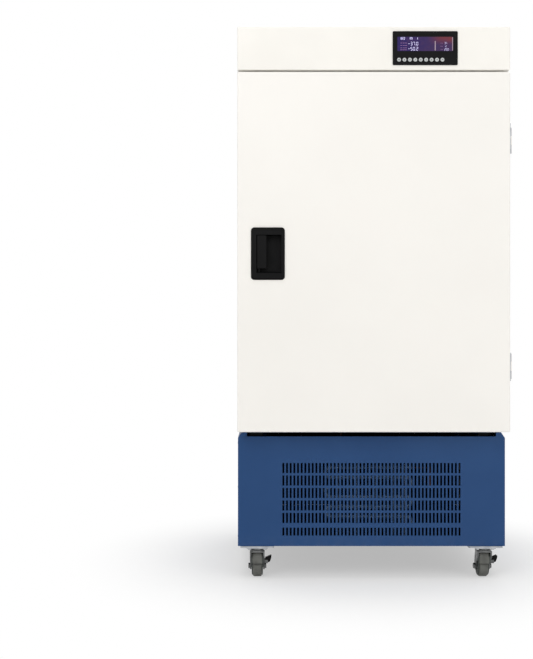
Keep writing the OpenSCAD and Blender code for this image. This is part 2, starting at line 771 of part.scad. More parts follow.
// Door skin: a folded pan with a chamfered front and a return flange at the back
module door_skin() {
    y_flange = y_door_back - liner_sheet - skin_t;
    color(white) translate([0, 0, z_mid]) difference() {
        cover_block(cab_w, door_h, 3, y_door, y_door_back - liner_sheet);
        along_y(y_door + skin_t, y_flange) rrect(cab_w - 2 * skin_t, door_h - 2 * skin_t, 2);
        along_y(y_flange - 1, y_door_back + 1) rrect(cab_w - 40, door_h - 40, 5);
        along_y(y_door - 1, y_door + skin_t + 1) handle_hole(loose_gap);
    }
}

// Foam inside the door
module door_foam() {
    y1 = y_door_back - liner_sheet;
    color(foam) translate([0, 0, z_mid]) difference() {
        union() {
            along_y(y_door + skin_t, y1 - skin_t) rrect(cab_w - 2 * skin_t, door_h - 2 * skin_t, 2);
            along_y(y1 - skin_t, y1) rrect(cab_w - 40, door_h - 40, 5);
        }
        along_y(y_door, y_door + cup_d + cup_wall + loose_gap) handle_hole(loose_gap);
    }
}

// Inner panel of the door, raised a little inside the gasket
module door_liner() {
    y0 = y_door_back - liner_sheet;
    inner_w = 2 * (gasket_x - gasket_w / 2) - 16;
    inner_h = door_h - 2 * (half_w - gasket_x + gasket_w / 2) - 16;
    raise = 3;
    color(white) translate([0, 0, z_mid]) difference() {
        union() {
            along_y(y0, y_door_back) rrect(cab_w - 6, door_h - 6, 3);
            along_y(y_door_back, y_door_back + raise) rrect(inner_w, inner_h, 14);
        }
        along_y(y0 - 1, y_door_back + raise - liner_sheet) rrect(inner_w - 2 * liner_sheet, inner_h - 2 * liner_sheet, 12);
        along_y(y_door_back + raise - 0.8, y_door_back + raise + 1) rring(inner_w - 60, inner_h - 60, 20, 6);
    }
}

// Magnetic gasket: foot, bellows neck and bulb
module door_gasket() {
    w = 2 * gasket_x + gasket_w;
    h = door_h - 2 * (half_w - gasket_x) + gasket_w;
    y1 = y_cab - 0.4;
    bulb = seal_gap - 3.6;
    color([0.78, 0.79, 0.80]) translate([0, 0, z_mid]) {
        along_y(y_door_back, y_door_back + 1.5) rring(w, h, gasket_r + 4, gasket_w);
        along_y(y_door_back + 1.5, y1 - bulb) rring(w - 10, h - 10, gasket_r, gasket_w - 10);
        along_y(y1 - bulb, y1 - 1) rring(w - 2, h - 2, gasket_r + 3, gasket_w - 2);
        along_y(y1 - 1, y1) rring(w - 5, h - 5, gasket_r + 2, gasket_w - 5);
    }
}

// Handle bezel: a rimmed plate with a cup whose lower lip is bevelled and two bores for the paddle
module handle_bezel() {
    y0 = y_door - bezel_t;
    color(black) difference() {
        union() {
            translate([handle_x, 0, handle_z]) {
                along_y(y0, y_door) rrect(handle_w, handle_h, handle_r);
                along_y(y0 - 1, y0) rring(handle_w, handle_h, handle_r, 3);
            }
            translate([0, 0, z_mid]) along_y(y_door, y_door + cup_d + cup_wall) handle_hole(0);
        }
        translate([cup_x, 0, handle_z]) along_y(y0 - 2, y_door + cup_d) rrect(cup_w, cup_h, 1.5);
        along_x(cup_x - cup_w / 2, cup_x + cup_w / 2)
            polygon([[y0 - 1, handle_z - cup_h / 2 - 4], [y0 - 1, handle_z - cup_h / 2 + 1],
                     [y0 + 5, handle_z - cup_h / 2 + 1], [y0 + 5, handle_z - cup_h / 2]]);
        translate([paddle_x, paddle_y, 0])
            bar_z(handle_z - cup_h / 2 - cup_wall - 1, handle_z + cup_h / 2 + cup_wall + 1, trunnion_d + 2 * run_gap);
    }
}

// Paddle of the handle: a lever with a finger lip, on trunnions at its left end
module handle_paddle() {
    x0 = paddle_x - 4;
    y0 = y_door - bezel_t + 0.5;
    z0 = paddle_z - paddle_h / 2;
    color([0.13, 0.13, 0.14]) {
        translate([0, 0, z0]) linear_extrude(paddle_h) {
            translate([x0, y0]) square([paddle_w, 4]);
            translate([x0 + paddle_w - 3, y0]) square([3, 19]);
            translate([x0 + paddle_w - 1.5, y0 + 19]) circle(1.5);
            translate([paddle_x, paddle_y]) circle(4);
        }
        translate([paddle_x, paddle_y, 0])
            bar_z(handle_z - cup_h / 2 - cup_wall + 0.3, handle_z + cup_h / 2 + cup_wall - 0.3, trunnion_d);
    }
}

// The base's outer form, taken in by a wall: chamfered along the top of its two sides
module base_form(wall, y1) {
    slope = sqrt(rim_w * rim_w + rim_h * rim_h);
    x = half_w - wall;
    top = z_cab - wall;
    side_z = z_cab - rim_h - wall * (slope - rim_h) / rim_w;
    top_x = half_w - rim_w - wall * (slope - rim_w) / rim_h;
    low = wall > 0 ? ground_h - 1 : ground_h;
    along_y(y_cab + wall, y1)
        polygon([[-x, low], [x, low], [x, side_z], [top_x, top], [-top_x, top], [-x, side_z]]);
}

// The shell of the base, with a rim left round its open top
module base_shell() {
    difference() {
        base_form(0, y_back);
        base_form(base_wall, y_back + 1);
        box(rim_w + 15 - half_w, half_w - rim_w - 15, y_cab + rim_w + 15, y_back + 1, z_cab - 10, z_cab + 1);
    }
}

// Front of the base: six rows of upright slots, the lowest row shorter, and an air slot under the door
module base_front() {
    x0 = -(vent_cols - 1) * vent_pitch / 2;
    top = z_cab - vent_drop;
    color(blue) difference() {
        intersection() {
            base_shell();
            box(-half_w - 1, half_w + 1, y_cab - 1, y_cab + wrap_d, ground_h - 1, z_cab + 1);
        }
        for (i = [0:vent_cols - 1]) translate([x0 + i * vent_pitch - vent_slot_w / 2, y_cab - 1, 0]) {
            for (row = [0:vent_rows - 1]) translate([0, 0, top - row * vent_row_pitch - vent_slot_h])
                cube([vent_slot_w, base_wall + 2, vent_slot_h]);
            translate([0, 0, top - vent_rows * vent_row_pitch - low_slot_h - vent_bridge])
                cube([vent_slot_w, base_wall + 2, low_slot_h]);
        }
        box(air_inset - half_w, half_w - air_inset, y_cab - 1, y_cab + rim_w, z_cab - air_slot_h, z_cab + 1);
    }
}

// Side panels of the base and its slotted rear panel
module base_panels() {
    rear_x = half_w - base_wall - seat_gap;
    color(blue) {
        intersection() {
            base_shell();
            box(-half_w - 1, half_w + 1, y_cab + wrap_d, y_back + 1, ground_h - 1, z_cab + 1);
        }
        difference() {
            box(-rear_x, rear_x, y_back - base_wall, y_back, ground_h + pan_t, z_cab - base_wall - seat_gap);
            for (i = [0:5], x = [-0.45 * vent_w, -0.15 * vent_w, 0.15 * vent_w, 0.45 * vent_w])
                translate([x, 0, z_cab - 27 - base_h / 15 * i])
                along_y(y_back - base_wall - 1, y_back + 1) rrect(96, 7, 3);
        }
    }
}

// Base frame: pan, four angle posts and the plate that the cabinet stands on
module base_frame() {
    x1 = half_w - base_wall - seat_gap;
    y0 = y_cab + base_wall + seat_gap;
    y1 = y_back - base_wall - seat_gap;
    px = half_w - rim_w - 18;
    py0 = y_cab + rim_w + 18;
    color(black) {
        difference() {
            box(-x1, x1, y0, y_back - base_wall - seat_gap, ground_h, ground_h + pan_t);
            for (x = [-caster_x, caster_x], y = [caster_front, caster_rear])
                translate([x, y, ground_h - 1]) cylinder(d = king_d + 4, h = pan_t + 2);
        }
        box(-in_w, in_w, y_cab, in_back, z_cab, z_cab + sheet_t);
        for (sx = [-1, 1], front = [0, 1]) scale([sx, 1, 1])
            translate([px, front == 1 ? py0 : y1, 0]) scale([-1, front == 1 ? 1 : -1, 1]) {
                box(0, 3, 0, post_w, ground_h + pan_t, z_cab);
                box(0, post_w, 0, 3, ground_h + pan_t, z_cab);
            }
    }
}

// Hermetic compressor: welded can, base plate, four rubber-footed bolts and three stubs
module compressor() {
    z_plate0 = ground_h + pan_t + 12;
    h = 172;
    color([0.12, 0.12, 0.13]) translate([comp_x, comp_y, 0]) {
        translate([0, 0, z_plate0 + 3]) rotate_extrude() intersection() {
            translate([0, h / 2]) rrect(2 * comp_r, h, 34);
            square([comp_r + 5, h + 1]);
        }
        translate([0, 0, z_plate0 + 70]) bar_z(0, 5, 2 * comp_r + 6);
        difference() {
            translate([0, 0, z_plate0]) linear_extrude(3) rrect(196, 120, 12);
            for (sx = [-1, 1], sy = [-1, 1]) translate([84 * sx, 46 * sy, z_plate0 - 1]) cylinder(d = 9, h = 6);
        }
        translate([0, 0, z_plate0]) linear_extrude(5) circle(50);
        for (sx = [-1, 1], sy = [-1, 1]) translate([84 * sx, 46 * sy, 0]) {
            bar_z(ground_h + pan_t, z_plate0, 22);
            bar_z(z_plate0 - 1, z_plate0 + 6, 8.9);
        }
        translate([0, 0, z_plate0 + 118]) bar_y(-comp_r - 12, -comp_r + 12, 12);
        translate([0, 0, z_plate0 + 92]) bar_x(-comp_r - 12, -comp_r + 12, 14);
        box(comp_r - 14, comp_r + 22, -28, 28, z_plate0 + 80, z_plate0 + 136);
    }
}

// Condenser: seven tube passes through fins between two end plates that stand on the pan
module condenser() {
    end_x = cond_w / 2;
    y_tube = cond_y + cond_d / 2;
    $fn = 16;
    color([0.45, 0.46, 0.47]) {
        for (i = [0:cond_rows - 1]) translate([0, y_tube, cond_z + cond_pitch * i]) {
            first = i == 0;
            last = i == cond_rows - 1;
            bar_x(first ? -end_x - 18 : -end_x - 4, last ? end_x + 18 : end_x + 4, tube_d);
        }
        for (i = [0:cond_rows - 2]) {
            s = i % 2 == 0 ? 1 : -1;
            translate([s * (end_x + 4), y_tube, cond_z + cond_pitch * (i + 0.5)]) rotate([90, 0, 0])
                rotate([0, 0, s > 0 ? -90 : 90])
                    rotate_extrude(angle = 180) translate([cond_pitch / 2, 0]) circle(d = tube_d);
        }
        for (s = [-1, 1]) translate([s * end_x, 0, 0])
            box(s > 0 ? -2 : 0, s > 0 ? 0 : 2, cond_y, cond_y + cond_d, ground_h + pan_t,
                cond_z + cond_pitch * (cond_rows - 1) + 12);
        for (i = [-5:5]) box(15 * i - 0.5, 15 * i + 0.5, cond_y + 2, cond_y + cond_d - 2,
                             ground_h + pan_t + 10, cond_z + cond_pitch * (cond_rows - 1) + 10);
    }
}

// Square housing of the condenser fan with its motor on four struts, on a foot
module condenser_fan_housing() {
    y0 = cond_fan_y;
    y1 = y0 + cond_fan_d;
    color(black) translate([0, 0, cond_fan_z]) difference() {
        union() {
            along_y(y0, y1) difference() {
                rrect(cond_fan_s, cond_fan_s, 10);
                circle(d = cond_fan_s - 12);
            }
            along_y(y1 - 7, y1) for (a = [45, 135]) rotate(a) square([cond_fan_s - 6, 9], center = true);
            bar_y(y1 - 10, y1 + 12, 60);
            along_y(y0, y1) translate([-60, -(cond_fan_z - ground_h - pan_t)])
                square([120, cond_fan_z - ground_h - pan_t - cond_fan_s / 2 + 4]);
        }
        bar_y(y1 - 11, y1 + 8, fan_shaft_d + 2 * run_gap);
    }
}

// Condenser fan: hub, shaft and five pitched blades
module condenser_fan() {
    y0 = cond_fan_y + 5;
    y1 = cond_fan_y + cond_fan_d - 12;
    mid = (y0 + y1) / 2;
    tip_r = (cond_fan_s - 12) / 2 - 3;
    color([0.16, 0.16, 0.17]) translate([0, 0, cond_fan_z]) {
        bar_y(y0, y1, 52);
        bar_y(y1, y1 + 16, fan_shaft_d);
        intersection() {
            for (a = [0:72:288]) translate([0, mid, 0]) rotate([0, a, 0]) rotate([38, 0, 0])
                translate([20, -1, -22]) cube([tip_r, 2, 44]);
            difference() {
                bar_y(y0, y1, 2 * tip_r);
                bar_y(y0 - 1, y1 + 1, 44);
            }
        }
    }
}

// A pipe through a list of points, with a ball at each bend
module pipe(points) {
    for (i = [0:len(points) - 2]) {
        a = points[i];
        v = points[i + 1] - a;
        n = norm(v);
        translate(a) rotate([0, acos(v.z / n), atan2(v.y, v.x)]) cylinder(d = pipe_d, h = n);
    }
    for (i = [1:len(points) - 2]) translate(points[i]) sphere(d = pipe_d + 1.6);
}

// Discharge, liquid and suction lines, with the filter drier in the liquid line
module refrigerant_lines() {
    y_tube = cond_y + cond_d / 2;
    z_high = cond_z + cond_pitch * (cond_rows - 1);
    z_stub = ground_h + pan_t + 12;
    x_cond = cond_w / 2 + 18;
    x_lift = x_cond + 48;
    color(copper) {
        pipe([[comp_x, comp_y - comp_r - 12, z_stub + 118], [comp_x, y_tube, z_stub + 118],
              [comp_x, y_tube, z_high], [x_cond, y_tube, z_high]]);
        pipe([[-x_cond, y_tube, cond_z], [-x_lift, y_tube, cond_z], [-x_lift, comp_y - 60, cond_z],
              [-x_lift, comp_y - 60, z_cab]]);
        translate([-x_lift, y_tube + 90, cond_z]) {
            bar_y(0, 80, 30);
            rotate([90, 0, 0]) cylinder(d1 = 30, d2 = pipe_d + 2, h = 14);
            translate([0, 80, 0]) rotate([-90, 0, 0]) cylinder(d1 = 30, d2 = pipe_d + 2, h = 14);
        }
        pipe([[comp_x - comp_r - 12, comp_y, z_stub + 92], [-40, comp_y, z_stub + 92], [-40, comp_y, z_cab]]);
    }
}

// Brackets and top plates of the four casters, bolted to the base's underside
module caster_plates() {
    color([0.80, 0.81, 0.82]) for (x = [-caster_x, caster_x], y = [caster_front, caster_rear])
        translate([x, y, 0]) difference() {
            union() {
                translate([0, 0, ground_h - bracket_t]) linear_extrude(bracket_t) rrect(80, 58, 5);
                translate([0, 0, z_plate]) linear_extrude(plate_t) rrect(50, 50, 4);
                for (sx = [-1, 1], sy = [-1, 1]) translate([18 * sx, 18 * sy, 0]) bar_z(z_plate - 3, z_plate, 8);
            }
            bar_z(z_plate - 1, ground_h + 1, king_d + 2 * run_gap);
        }
}

// Caster fork: swivel race, two tapered legs, axle bolt and, with a brake, two ears with the pedal's pin
module caster_fork(brake) {
    z_race = z_plate - seat_gap;
    z_crown = z_race - 8;
    ear_t = 3;
    ear_half = 10.5;
    color([0.62, 0.63, 0.64]) {
        bar_z(z_race - 4, ground_h - 0.5, king_d);
        translate([0, 0, z_crown]) rotate_extrude() difference() {
            square([17, 8]);
            translate([18.5, 5]) circle(3);
        }
        box(-fork_out, fork_out, -14, 16, z_crown - 3, z_crown);
        for (s = [-1, 1]) along_x(s > 0 ? fork_in : -fork_out, s > 0 ? fork_out : -fork_in) {
            polygon([[-14, z_crown], [16, z_crown], [16, z_crown - 4], [trail + fork_boss_r, axle_z],
                     [trail - fork_boss_r, axle_z], [-14, z_crown - 10]]);
            translate([trail, axle_z]) circle(fork_boss_r);
        }
        translate([0, trail, axle_z]) {
            bar_x(-fork_out - 2, fork_out + 2, axle_d);
            for (x = [-fork_out - 4, fork_out]) translate([x, 0, 0]) rotate([0, 90, 0]) cylinder(d = 13, h = 4, $fn = 6);
        }
        if (brake) {
            for (y = [pedal_y - ear_half, pedal_y + ear_half - ear_t])
                box(fork_out - 0.5, pedal_x + 3, y, y + ear_t, pedal_z - 4, pedal_z + 4);
            translate([pedal_x, 0, pedal_z]) bar_y(pedal_y - ear_half, pedal_y + ear_half, pedal_pin_d);
        }
    }
}

// Caster wheel: bushed hub, web and rounded tread
module caster_wheel() {
    hub_w = 2 * fork_in - 2;
    color(grey_rubber) translate([0, trail, axle_z]) rotate([0, 90, 0]) rotate_extrude() {
        translate([axle_d / 2 + run_gap, -hub_w / 2]) square([7, hub_w]);
        translate([axle_d / 2 + 5, -4]) square([wheel_d / 2 - axle_d / 2 - 8, 8]);
        translate([wheel_d / 2 - 5, 0]) rrect(10, wheel_w, 3.5);
    }
}

// Brake pedal on the side of a fork
module brake_pedal() {
    color(black) difference() {
        union() {
            translate([pedal_x, 0, pedal_z]) bar_y(pedal_y - 7.2, pedal_y + 7.2, 8);
            translate([pedal_x, 0, pedal_z]) along_y(pedal_y - 7.2, pedal_y + 7.2)
                polygon([[-3.2, 2], [-3.2, 8], [0, 9], [10.5, 13.5], [11.6, 13.2], [11.4, 8.5], [8.2, -0.6], [0, -3.9]]);
        }
        translate([pedal_x, 0, pedal_z]) bar_y(pedal_y - 20, pedal_y + 20, pedal_pin_d + 2 * run_gap);
    }
}

module at_caster(x_side, y_side) {
    translate([x_side * caster_x, y_side < 0 ? caster_front : caster_rear, 0]) children();
}

outer_casing();
back_panel();
control_fascia();
control_deck();
control_electronics();
controller_bezel();
display_module();
mains_inlet();
front_frame();
foam_body();
chamber_liner();
duct_panel();
circulation_motor();
evaporator();
heater_ring();
shelf_rails();
wire_shelves();
chamber_lamp();
port_sleeve();
glass_seal();
cabinet_hinges();
base_front();
base_panels();
base_frame();
compressor();
condenser();
condenser_fan_housing();
refrigerant_lines();
caster_plates();
door_skin();
door_foam();
door_liner();
door_gasket();
door_hinges();
handle_bezel();
handle_paddle();
glass_pane();
glass_fittings();
circulation_fan();
condenser_fan();
port_plug();
key(1);  // key_1
key(2);  // key_2
key(3);  // key_3
key(4);  // key_4
key(5);  // key_5
key(6);  // key_6
key(7);  // key_7
key(8);  // key_8
key(9);  // key_9
at_caster(-1, -1) caster_fork(true);  // caster_fork_fl
at_caster(1, -1) caster_fork(true);  // caster_fork_fr
at_caster(-1, 1) caster_fork(false);  // caster_fork_rl
at_caster(1, 1) caster_fork(false);  // caster_fork_rr
at_caster(-1, -1) caster_wheel();  // caster_wheel_fl
at_caster(1, -1) caster_wheel();  // caster_wheel_fr
at_caster(-1, 1) caster_wheel();  // caster_wheel_rl
at_caster(1, 1) caster_wheel();  // caster_wheel_rr
at_caster(-1, -1) brake_pedal();  // brake_pedal_fl
at_caster(1, -1) brake_pedal();  // brake_pedal_fr
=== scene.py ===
# %% [markdown]
# # A refrigerated incubator, dressed for its portrait
# The solids come ready-made from the CAD model, in metres and in one frame: +Z up, the door facing -Y.
# This lesson gives them their finishes, adds the small parts that only the eye needs, and sets the studio.

import json
import math

import bmesh
import bpy
import numpy as np
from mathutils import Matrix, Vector


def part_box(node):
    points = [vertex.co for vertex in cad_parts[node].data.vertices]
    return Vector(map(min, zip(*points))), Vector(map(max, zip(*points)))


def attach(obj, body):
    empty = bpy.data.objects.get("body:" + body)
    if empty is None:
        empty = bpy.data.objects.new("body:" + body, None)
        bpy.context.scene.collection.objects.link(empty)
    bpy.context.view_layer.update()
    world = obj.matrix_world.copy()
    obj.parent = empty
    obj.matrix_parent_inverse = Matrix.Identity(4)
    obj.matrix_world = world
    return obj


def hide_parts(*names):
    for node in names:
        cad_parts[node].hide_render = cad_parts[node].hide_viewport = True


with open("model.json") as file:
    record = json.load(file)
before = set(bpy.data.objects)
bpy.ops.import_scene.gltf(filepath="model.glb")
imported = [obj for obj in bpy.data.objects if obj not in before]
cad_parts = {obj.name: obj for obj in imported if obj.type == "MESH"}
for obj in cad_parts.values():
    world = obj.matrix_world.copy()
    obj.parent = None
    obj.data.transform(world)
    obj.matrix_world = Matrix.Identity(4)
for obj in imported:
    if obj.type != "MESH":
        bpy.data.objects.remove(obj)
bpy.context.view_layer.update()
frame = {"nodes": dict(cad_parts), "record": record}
MM = 0.001

# %% [markdown]
# ## Camera
# The photograph looks straight at the door from 2.5 m, and the cabinet stands right of its middle. The camera
# is put there unturned, so upright edges stay parallel. The lens follows from how much height the frame
# covers at the door: 1.52 m.

# %% Camera
CAMERA_PLACE = (-0.2476, -2.825, 0.591)
FRAME_HEIGHT_AT_DOOR = 1.5208
DOOR_DISTANCE = 2.5
SENSOR_HEIGHT = 24.0

camera_data = bpy.data.cameras.new("portrait_camera")
camera_data.sensor_fit = "VERTICAL"
camera_data.sensor_height = SENSOR_HEIGHT
camera_data.lens = SENSOR_HEIGHT * DOOR_DISTANCE / FRAME_HEIGHT_AT_DOOR
camera_data.clip_end = 60
camera = bpy.data.objects.new("portrait_camera", camera_data)
camera.location = CAMERA_PLACE
camera.rotation_euler = (math.pi / 2, 0, 0)
bpy.context.scene.collection.objects.link(camera)
bpy.context.scene.camera = camera
bpy.context.scene.view_settings.view_transform = "Standard"
print("lens in mm:", round(camera_data.lens, 2))

# %% [markdown]
# ## Light
# A white painted cabinet shows its form only by slow changes of grey. Large soft lamps make those: one high on
# the left, a weaker one on the right, one overhead, and one behind for the views of the back. Small lamps would
# burn bright spots into the paint.

# %% Lamps
def soft_lamp(name, place, target, size, power):
    """An area lamp at place that faces target."""
    data = bpy.data.lights.new(name, "AREA")
    data.shape = "RECTANGLE"
    data.size, data.size_y = size
    data.energy = power
    lamp = bpy.data.objects.new(name, data)
    lamp.location = place
    lamp.rotation_euler = (Vector(target) - Vector(place)).to_track_quat("-Z", "Y").to_euler()
    bpy.context.scene.collection.objects.link(lamp)


soft_lamp("lamp_left", (-1.1, -2.9, 2.4), (0, 0, 0.8), (1.8, 1.8), 29)
soft_lamp("lamp_right", (2.2, -3.0, 1.3), (0, 0, 0.6), (2.0, 2.4), 20)
soft_lamp("lamp_top", (0, -0.4, 3.4), (0, 0, 0), (2.8, 2.8), 26)
soft_lamp("lamp_back", (0.4, 3.4, 2.4), (0, 0, 0.7), (2.4, 2.0), 28)
print("lamps:", len(bpy.data.lights))

# %% [markdown]
# ## Building blocks of node trees
# Materials and the world are node trees. A few short functions add a node, link it and return its output, so a
# tree reads like a formula.

# %% Node helpers
def new_material(name):
    """A material with an empty node tree, its tree, and its output node."""
    material = bpy.data.materials.new(name)
    material.use_nodes = True
    material.node_tree.nodes.clear()
    return material, material.node_tree, material.node_tree.nodes.new("ShaderNodeOutputMaterial")


def computed(tree, operation, first, second):
    """The output of a math node that takes two sockets."""
    node = tree.nodes.new("ShaderNodeMath")
    node.operation = operation
    tree.links.new(first, node.inputs[0])
    tree.links.new(second, node.inputs[1])
    return node.outputs[0]


def ranged(tree, value, low, high, to_low=0.0, to_high=1.0):
    """The value mapped smoothly from low..high to to_low..to_high."""
    node = tree.nodes.new("ShaderNodeMapRange")
    node.interpolation_type = "SMOOTHSTEP"
    node.inputs["From Min"].default_value = low
    node.inputs["From Max"].default_value = high
    node.inputs["To Min"].default_value = to_low
    node.inputs["To Max"].default_value = to_high
    tree.links.new(value, node.inputs["Value"])
    return node.outputs["Result"]


def object_place(tree):
    """The place on the object, which stays the same in every view and pose."""
    return tree.nodes.new("ShaderNodeTexCoord").outputs["Object"]


def noise(tree, vector, scale, detail=3.0):
    """A noise texture that reads the vector; scale is a number or a socket."""
    node = tree.nodes.new("ShaderNodeTexNoise")
    node.inputs["Detail"].default_value = detail
    tree.links.new(vector, node.inputs["Vector"])
    if isinstance(scale, (int, float)):
        node.inputs["Scale"].default_value = scale
    else:
        tree.links.new(scale, node.inputs["Scale"])
    return node.outputs["Fac"]


def seen_directly(tree):
    """A value of 1 for camera, glossy and transmission rays, and 0 for the rays that light things."""
    path = tree.nodes.new("ShaderNodeLightPath")
    seen = computed(tree, "MAXIMUM", path.outputs["Is Camera Ray"], path.outputs["Is Glossy Ray"])
    return computed(tree, "MAXIMUM", seen, path.outputs["Is Transmission Ray"])


print("node helpers ready")

# %% [markdown]
# ## World and floor
# The world is plain white to the camera, to mirrors and through glass, and only a part as strong as a light.
# The floor takes the shadow near the object and turns into the same white further out, so no horizon shows.

# %% World and floor
WORLD_LIGHT = 0.52
FLOOR_GREY = 0.93
SHADOW_END = (0.34, 0.78)
GLOW_BELOW_PART = 0.45
FLOOR_HALF = 20

world = bpy.data.worlds.new("white_room")
bpy.context.scene.world = world
world.use_nodes = True
world_tree = world.node_tree
world_tree.nodes.clear()
sky = world_tree.nodes.new("ShaderNodeBackground")
sky.inputs["Color"].default_value = (1, 1, 1, 1)
strength = ranged(world_tree, seen_directly(world_tree), 0.0, 1.0, WORLD_LIGHT, 1.0)
world_tree.links.new(strength, sky.inputs["Strength"])
world_tree.links.new(sky.outputs[0], world_tree.nodes.new("ShaderNodeOutputWorld").inputs["Surface"])

floor_mat, floor_tree, floor_out = new_material("floor_white")
ground = floor_tree.nodes.new("ShaderNodeBsdfDiffuse")
ground.inputs["Color"].default_value = (FLOOR_GREY, FLOOR_GREY, FLOOR_GREY, 1)
glow = floor_tree.nodes.new("ShaderNodeEmission")
reach = floor_tree.nodes.new("ShaderNodeVectorMath")
reach.operation = "LENGTH"
floor_tree.links.new(object_place(floor_tree), reach.inputs[0])
fade = ranged(floor_tree, reach.outputs["Value"], *SHADOW_END, GLOW_BELOW_PART, 1.0)
mix = floor_tree.nodes.new("ShaderNodeMixShader")
floor_tree.links.new(computed(floor_tree, "MULTIPLY", fade, seen_directly(floor_tree)), mix.inputs[0])
floor_tree.links.new(ground.outputs[0], mix.inputs[1])
floor_tree.links.new(glow.outputs[0], mix.inputs[2])
floor_tree.links.new(mix.outputs[0], floor_out.inputs["Surface"])

floor_mesh = bpy.data.meshes.new("floor")
floor_corners = [(x * FLOOR_HALF, y * FLOOR_HALF, 0) for x, y in ((-1, -1), (1, -1), (1, 1), (-1, 1))]
floor_mesh.from_pydata(floor_corners, [], [(0, 1, 2, 3)])
floor = bpy.data.objects.new("floor", floor_mesh)
bpy.context.scene.collection.objects.link(floor)
floor_mesh.materials.append(floor_mat)
print("floor is", 2 * FLOOR_HALF, "m wide")

# %% [markdown]
# ## Effects that many finishes share
# Paint, moulded plastic and rolled steel all vary a little over a surface. Each effect is a node group that
# gives a height for the bump and a mask for colour and gloss, so every finish can use it at its own scale.

# %% Shared node groups
def start_group(name, inputs, outputs):
    """A shader node group with float inputs of given default values and float outputs."""
    group = bpy.data.node_groups.new(name, "ShaderNodeTree")
    for key, value in inputs.items():
        socket = group.interface.new_socket(key, in_out="INPUT", socket_type="NodeSocketFloat")
        socket.default_value = value
    for key in outputs:
        group.interface.new_socket(key, in_out="OUTPUT", socket_type="NodeSocketFloat")
    return group, group.nodes.new("NodeGroupInput"), group.nodes.new("NodeGroupOutput")


grain_group, g_in, g_out = start_group("surface_grain", {"Scale": 900.0, "Blotch Scale": 6.0}, ["Height", "Blotch"])
grain_place = object_place(grain_group)
grain_group.links.new(noise(grain_group, grain_place, g_in.outputs["Scale"], 2.0), g_out.inputs["Height"])
blotches = noise(grain_group, grain_place, g_in.outputs["Blotch Scale"], 4.0)
grain_group.links.new(ranged(grain_group, blotches, 0.3, 0.7), g_out.inputs["Blotch"])

brush_group, b_in, b_out = start_group("brushed_lines", {"Along X": 12.0, "Along Y": 12.0, "Along Z": 900.0},
                                       ["Lines", "Blotch"])
stretch = brush_group.nodes.new("ShaderNodeCombineXYZ")
for axis, key in zip("XYZ", ("Along X", "Along Y", "Along Z")):
    brush_group.links.new(b_in.outputs[key], stretch.inputs[axis])
scaled = brush_group.nodes.new("ShaderNodeVectorMath")
scaled.operation = "MULTIPLY"
brush_place = object_place(brush_group)
brush_group.links.new(brush_place, scaled.inputs[0])
brush_group.links.new(stretch.outputs[0], scaled.inputs[1])
brush_group.links.new(noise(brush_group, scaled.outputs[0], 1.0, 4.0), b_out.inputs["Lines"])
brush_group.links.new(ranged(brush_group, noise(brush_group, brush_place, 5.0), 0.3, 0.7), b_out.inputs["Blotch"])

dust_group, d_in, d_out = start_group("floor_dust", {"Top": 0.16, "Scale": 45.0, "Amount": 0.16}, ["Mask"])
dust_place = object_place(dust_group)
dust_axes = dust_group.nodes.new("ShaderNodeSeparateXYZ")
dust_group.links.new(dust_place, dust_axes.inputs[0])
height_share = computed(dust_group, "DIVIDE", dust_axes.outputs["Z"], d_in.outputs["Top"])
near_floor = ranged(dust_group, height_share, 0.0, 1.0, 1.0, 0.0)
thin = computed(dust_group, "MULTIPLY", near_floor, d_in.outputs["Amount"])
patches = ranged(dust_group, noise(dust_group, dust_place, d_in.outputs["Scale"], 5.0), 0.35, 0.75)
dust_group.links.new(computed(dust_group, "MULTIPLY", thin, patches), d_out.inputs["Mask"])
print("groups:", [g.name for g in bpy.data.node_groups])

# %% [markdown]
# ## Finishes
# Every finish is one Principled shader. The groups vary its colour, gloss and relief; what is the same all
# over stays on the shader's own sockets.

# %% Finish builder
SECOND_SHADE = 0.93


def linear(r, g, b):
    """An sRGB colour of 0 to 255 as linear light."""
    c = np.array([r, g, b]) / 255.0
    return tuple(np.where(c <= 0.04045, c / 12.92, ((c + 0.055) / 1.055) ** 2.4)) + (1.0,)


def place_group(tree, group, values):
    """The node group in a tree, with some of its inputs set."""
    node = tree.nodes.new("ShaderNodeGroup")
    node.node_tree = group
    for key, value in values.items():
        node.inputs[key].default_value = value
    return node


def two_tone(tree, mask, first, second):
    """A colour between first and second; either may be a colour or a socket."""
    node = tree.nodes.new("ShaderNodeMix")
    node.data_type = "RGBA"
    tree.links.new(mask, node.inputs["Factor"])
    for key, value in ((6, first), (7, second)):
        if isinstance(value, tuple):
            node.inputs[key].default_value = value
        else:
            tree.links.new(value, node.inputs[key])
    return node.outputs[2]


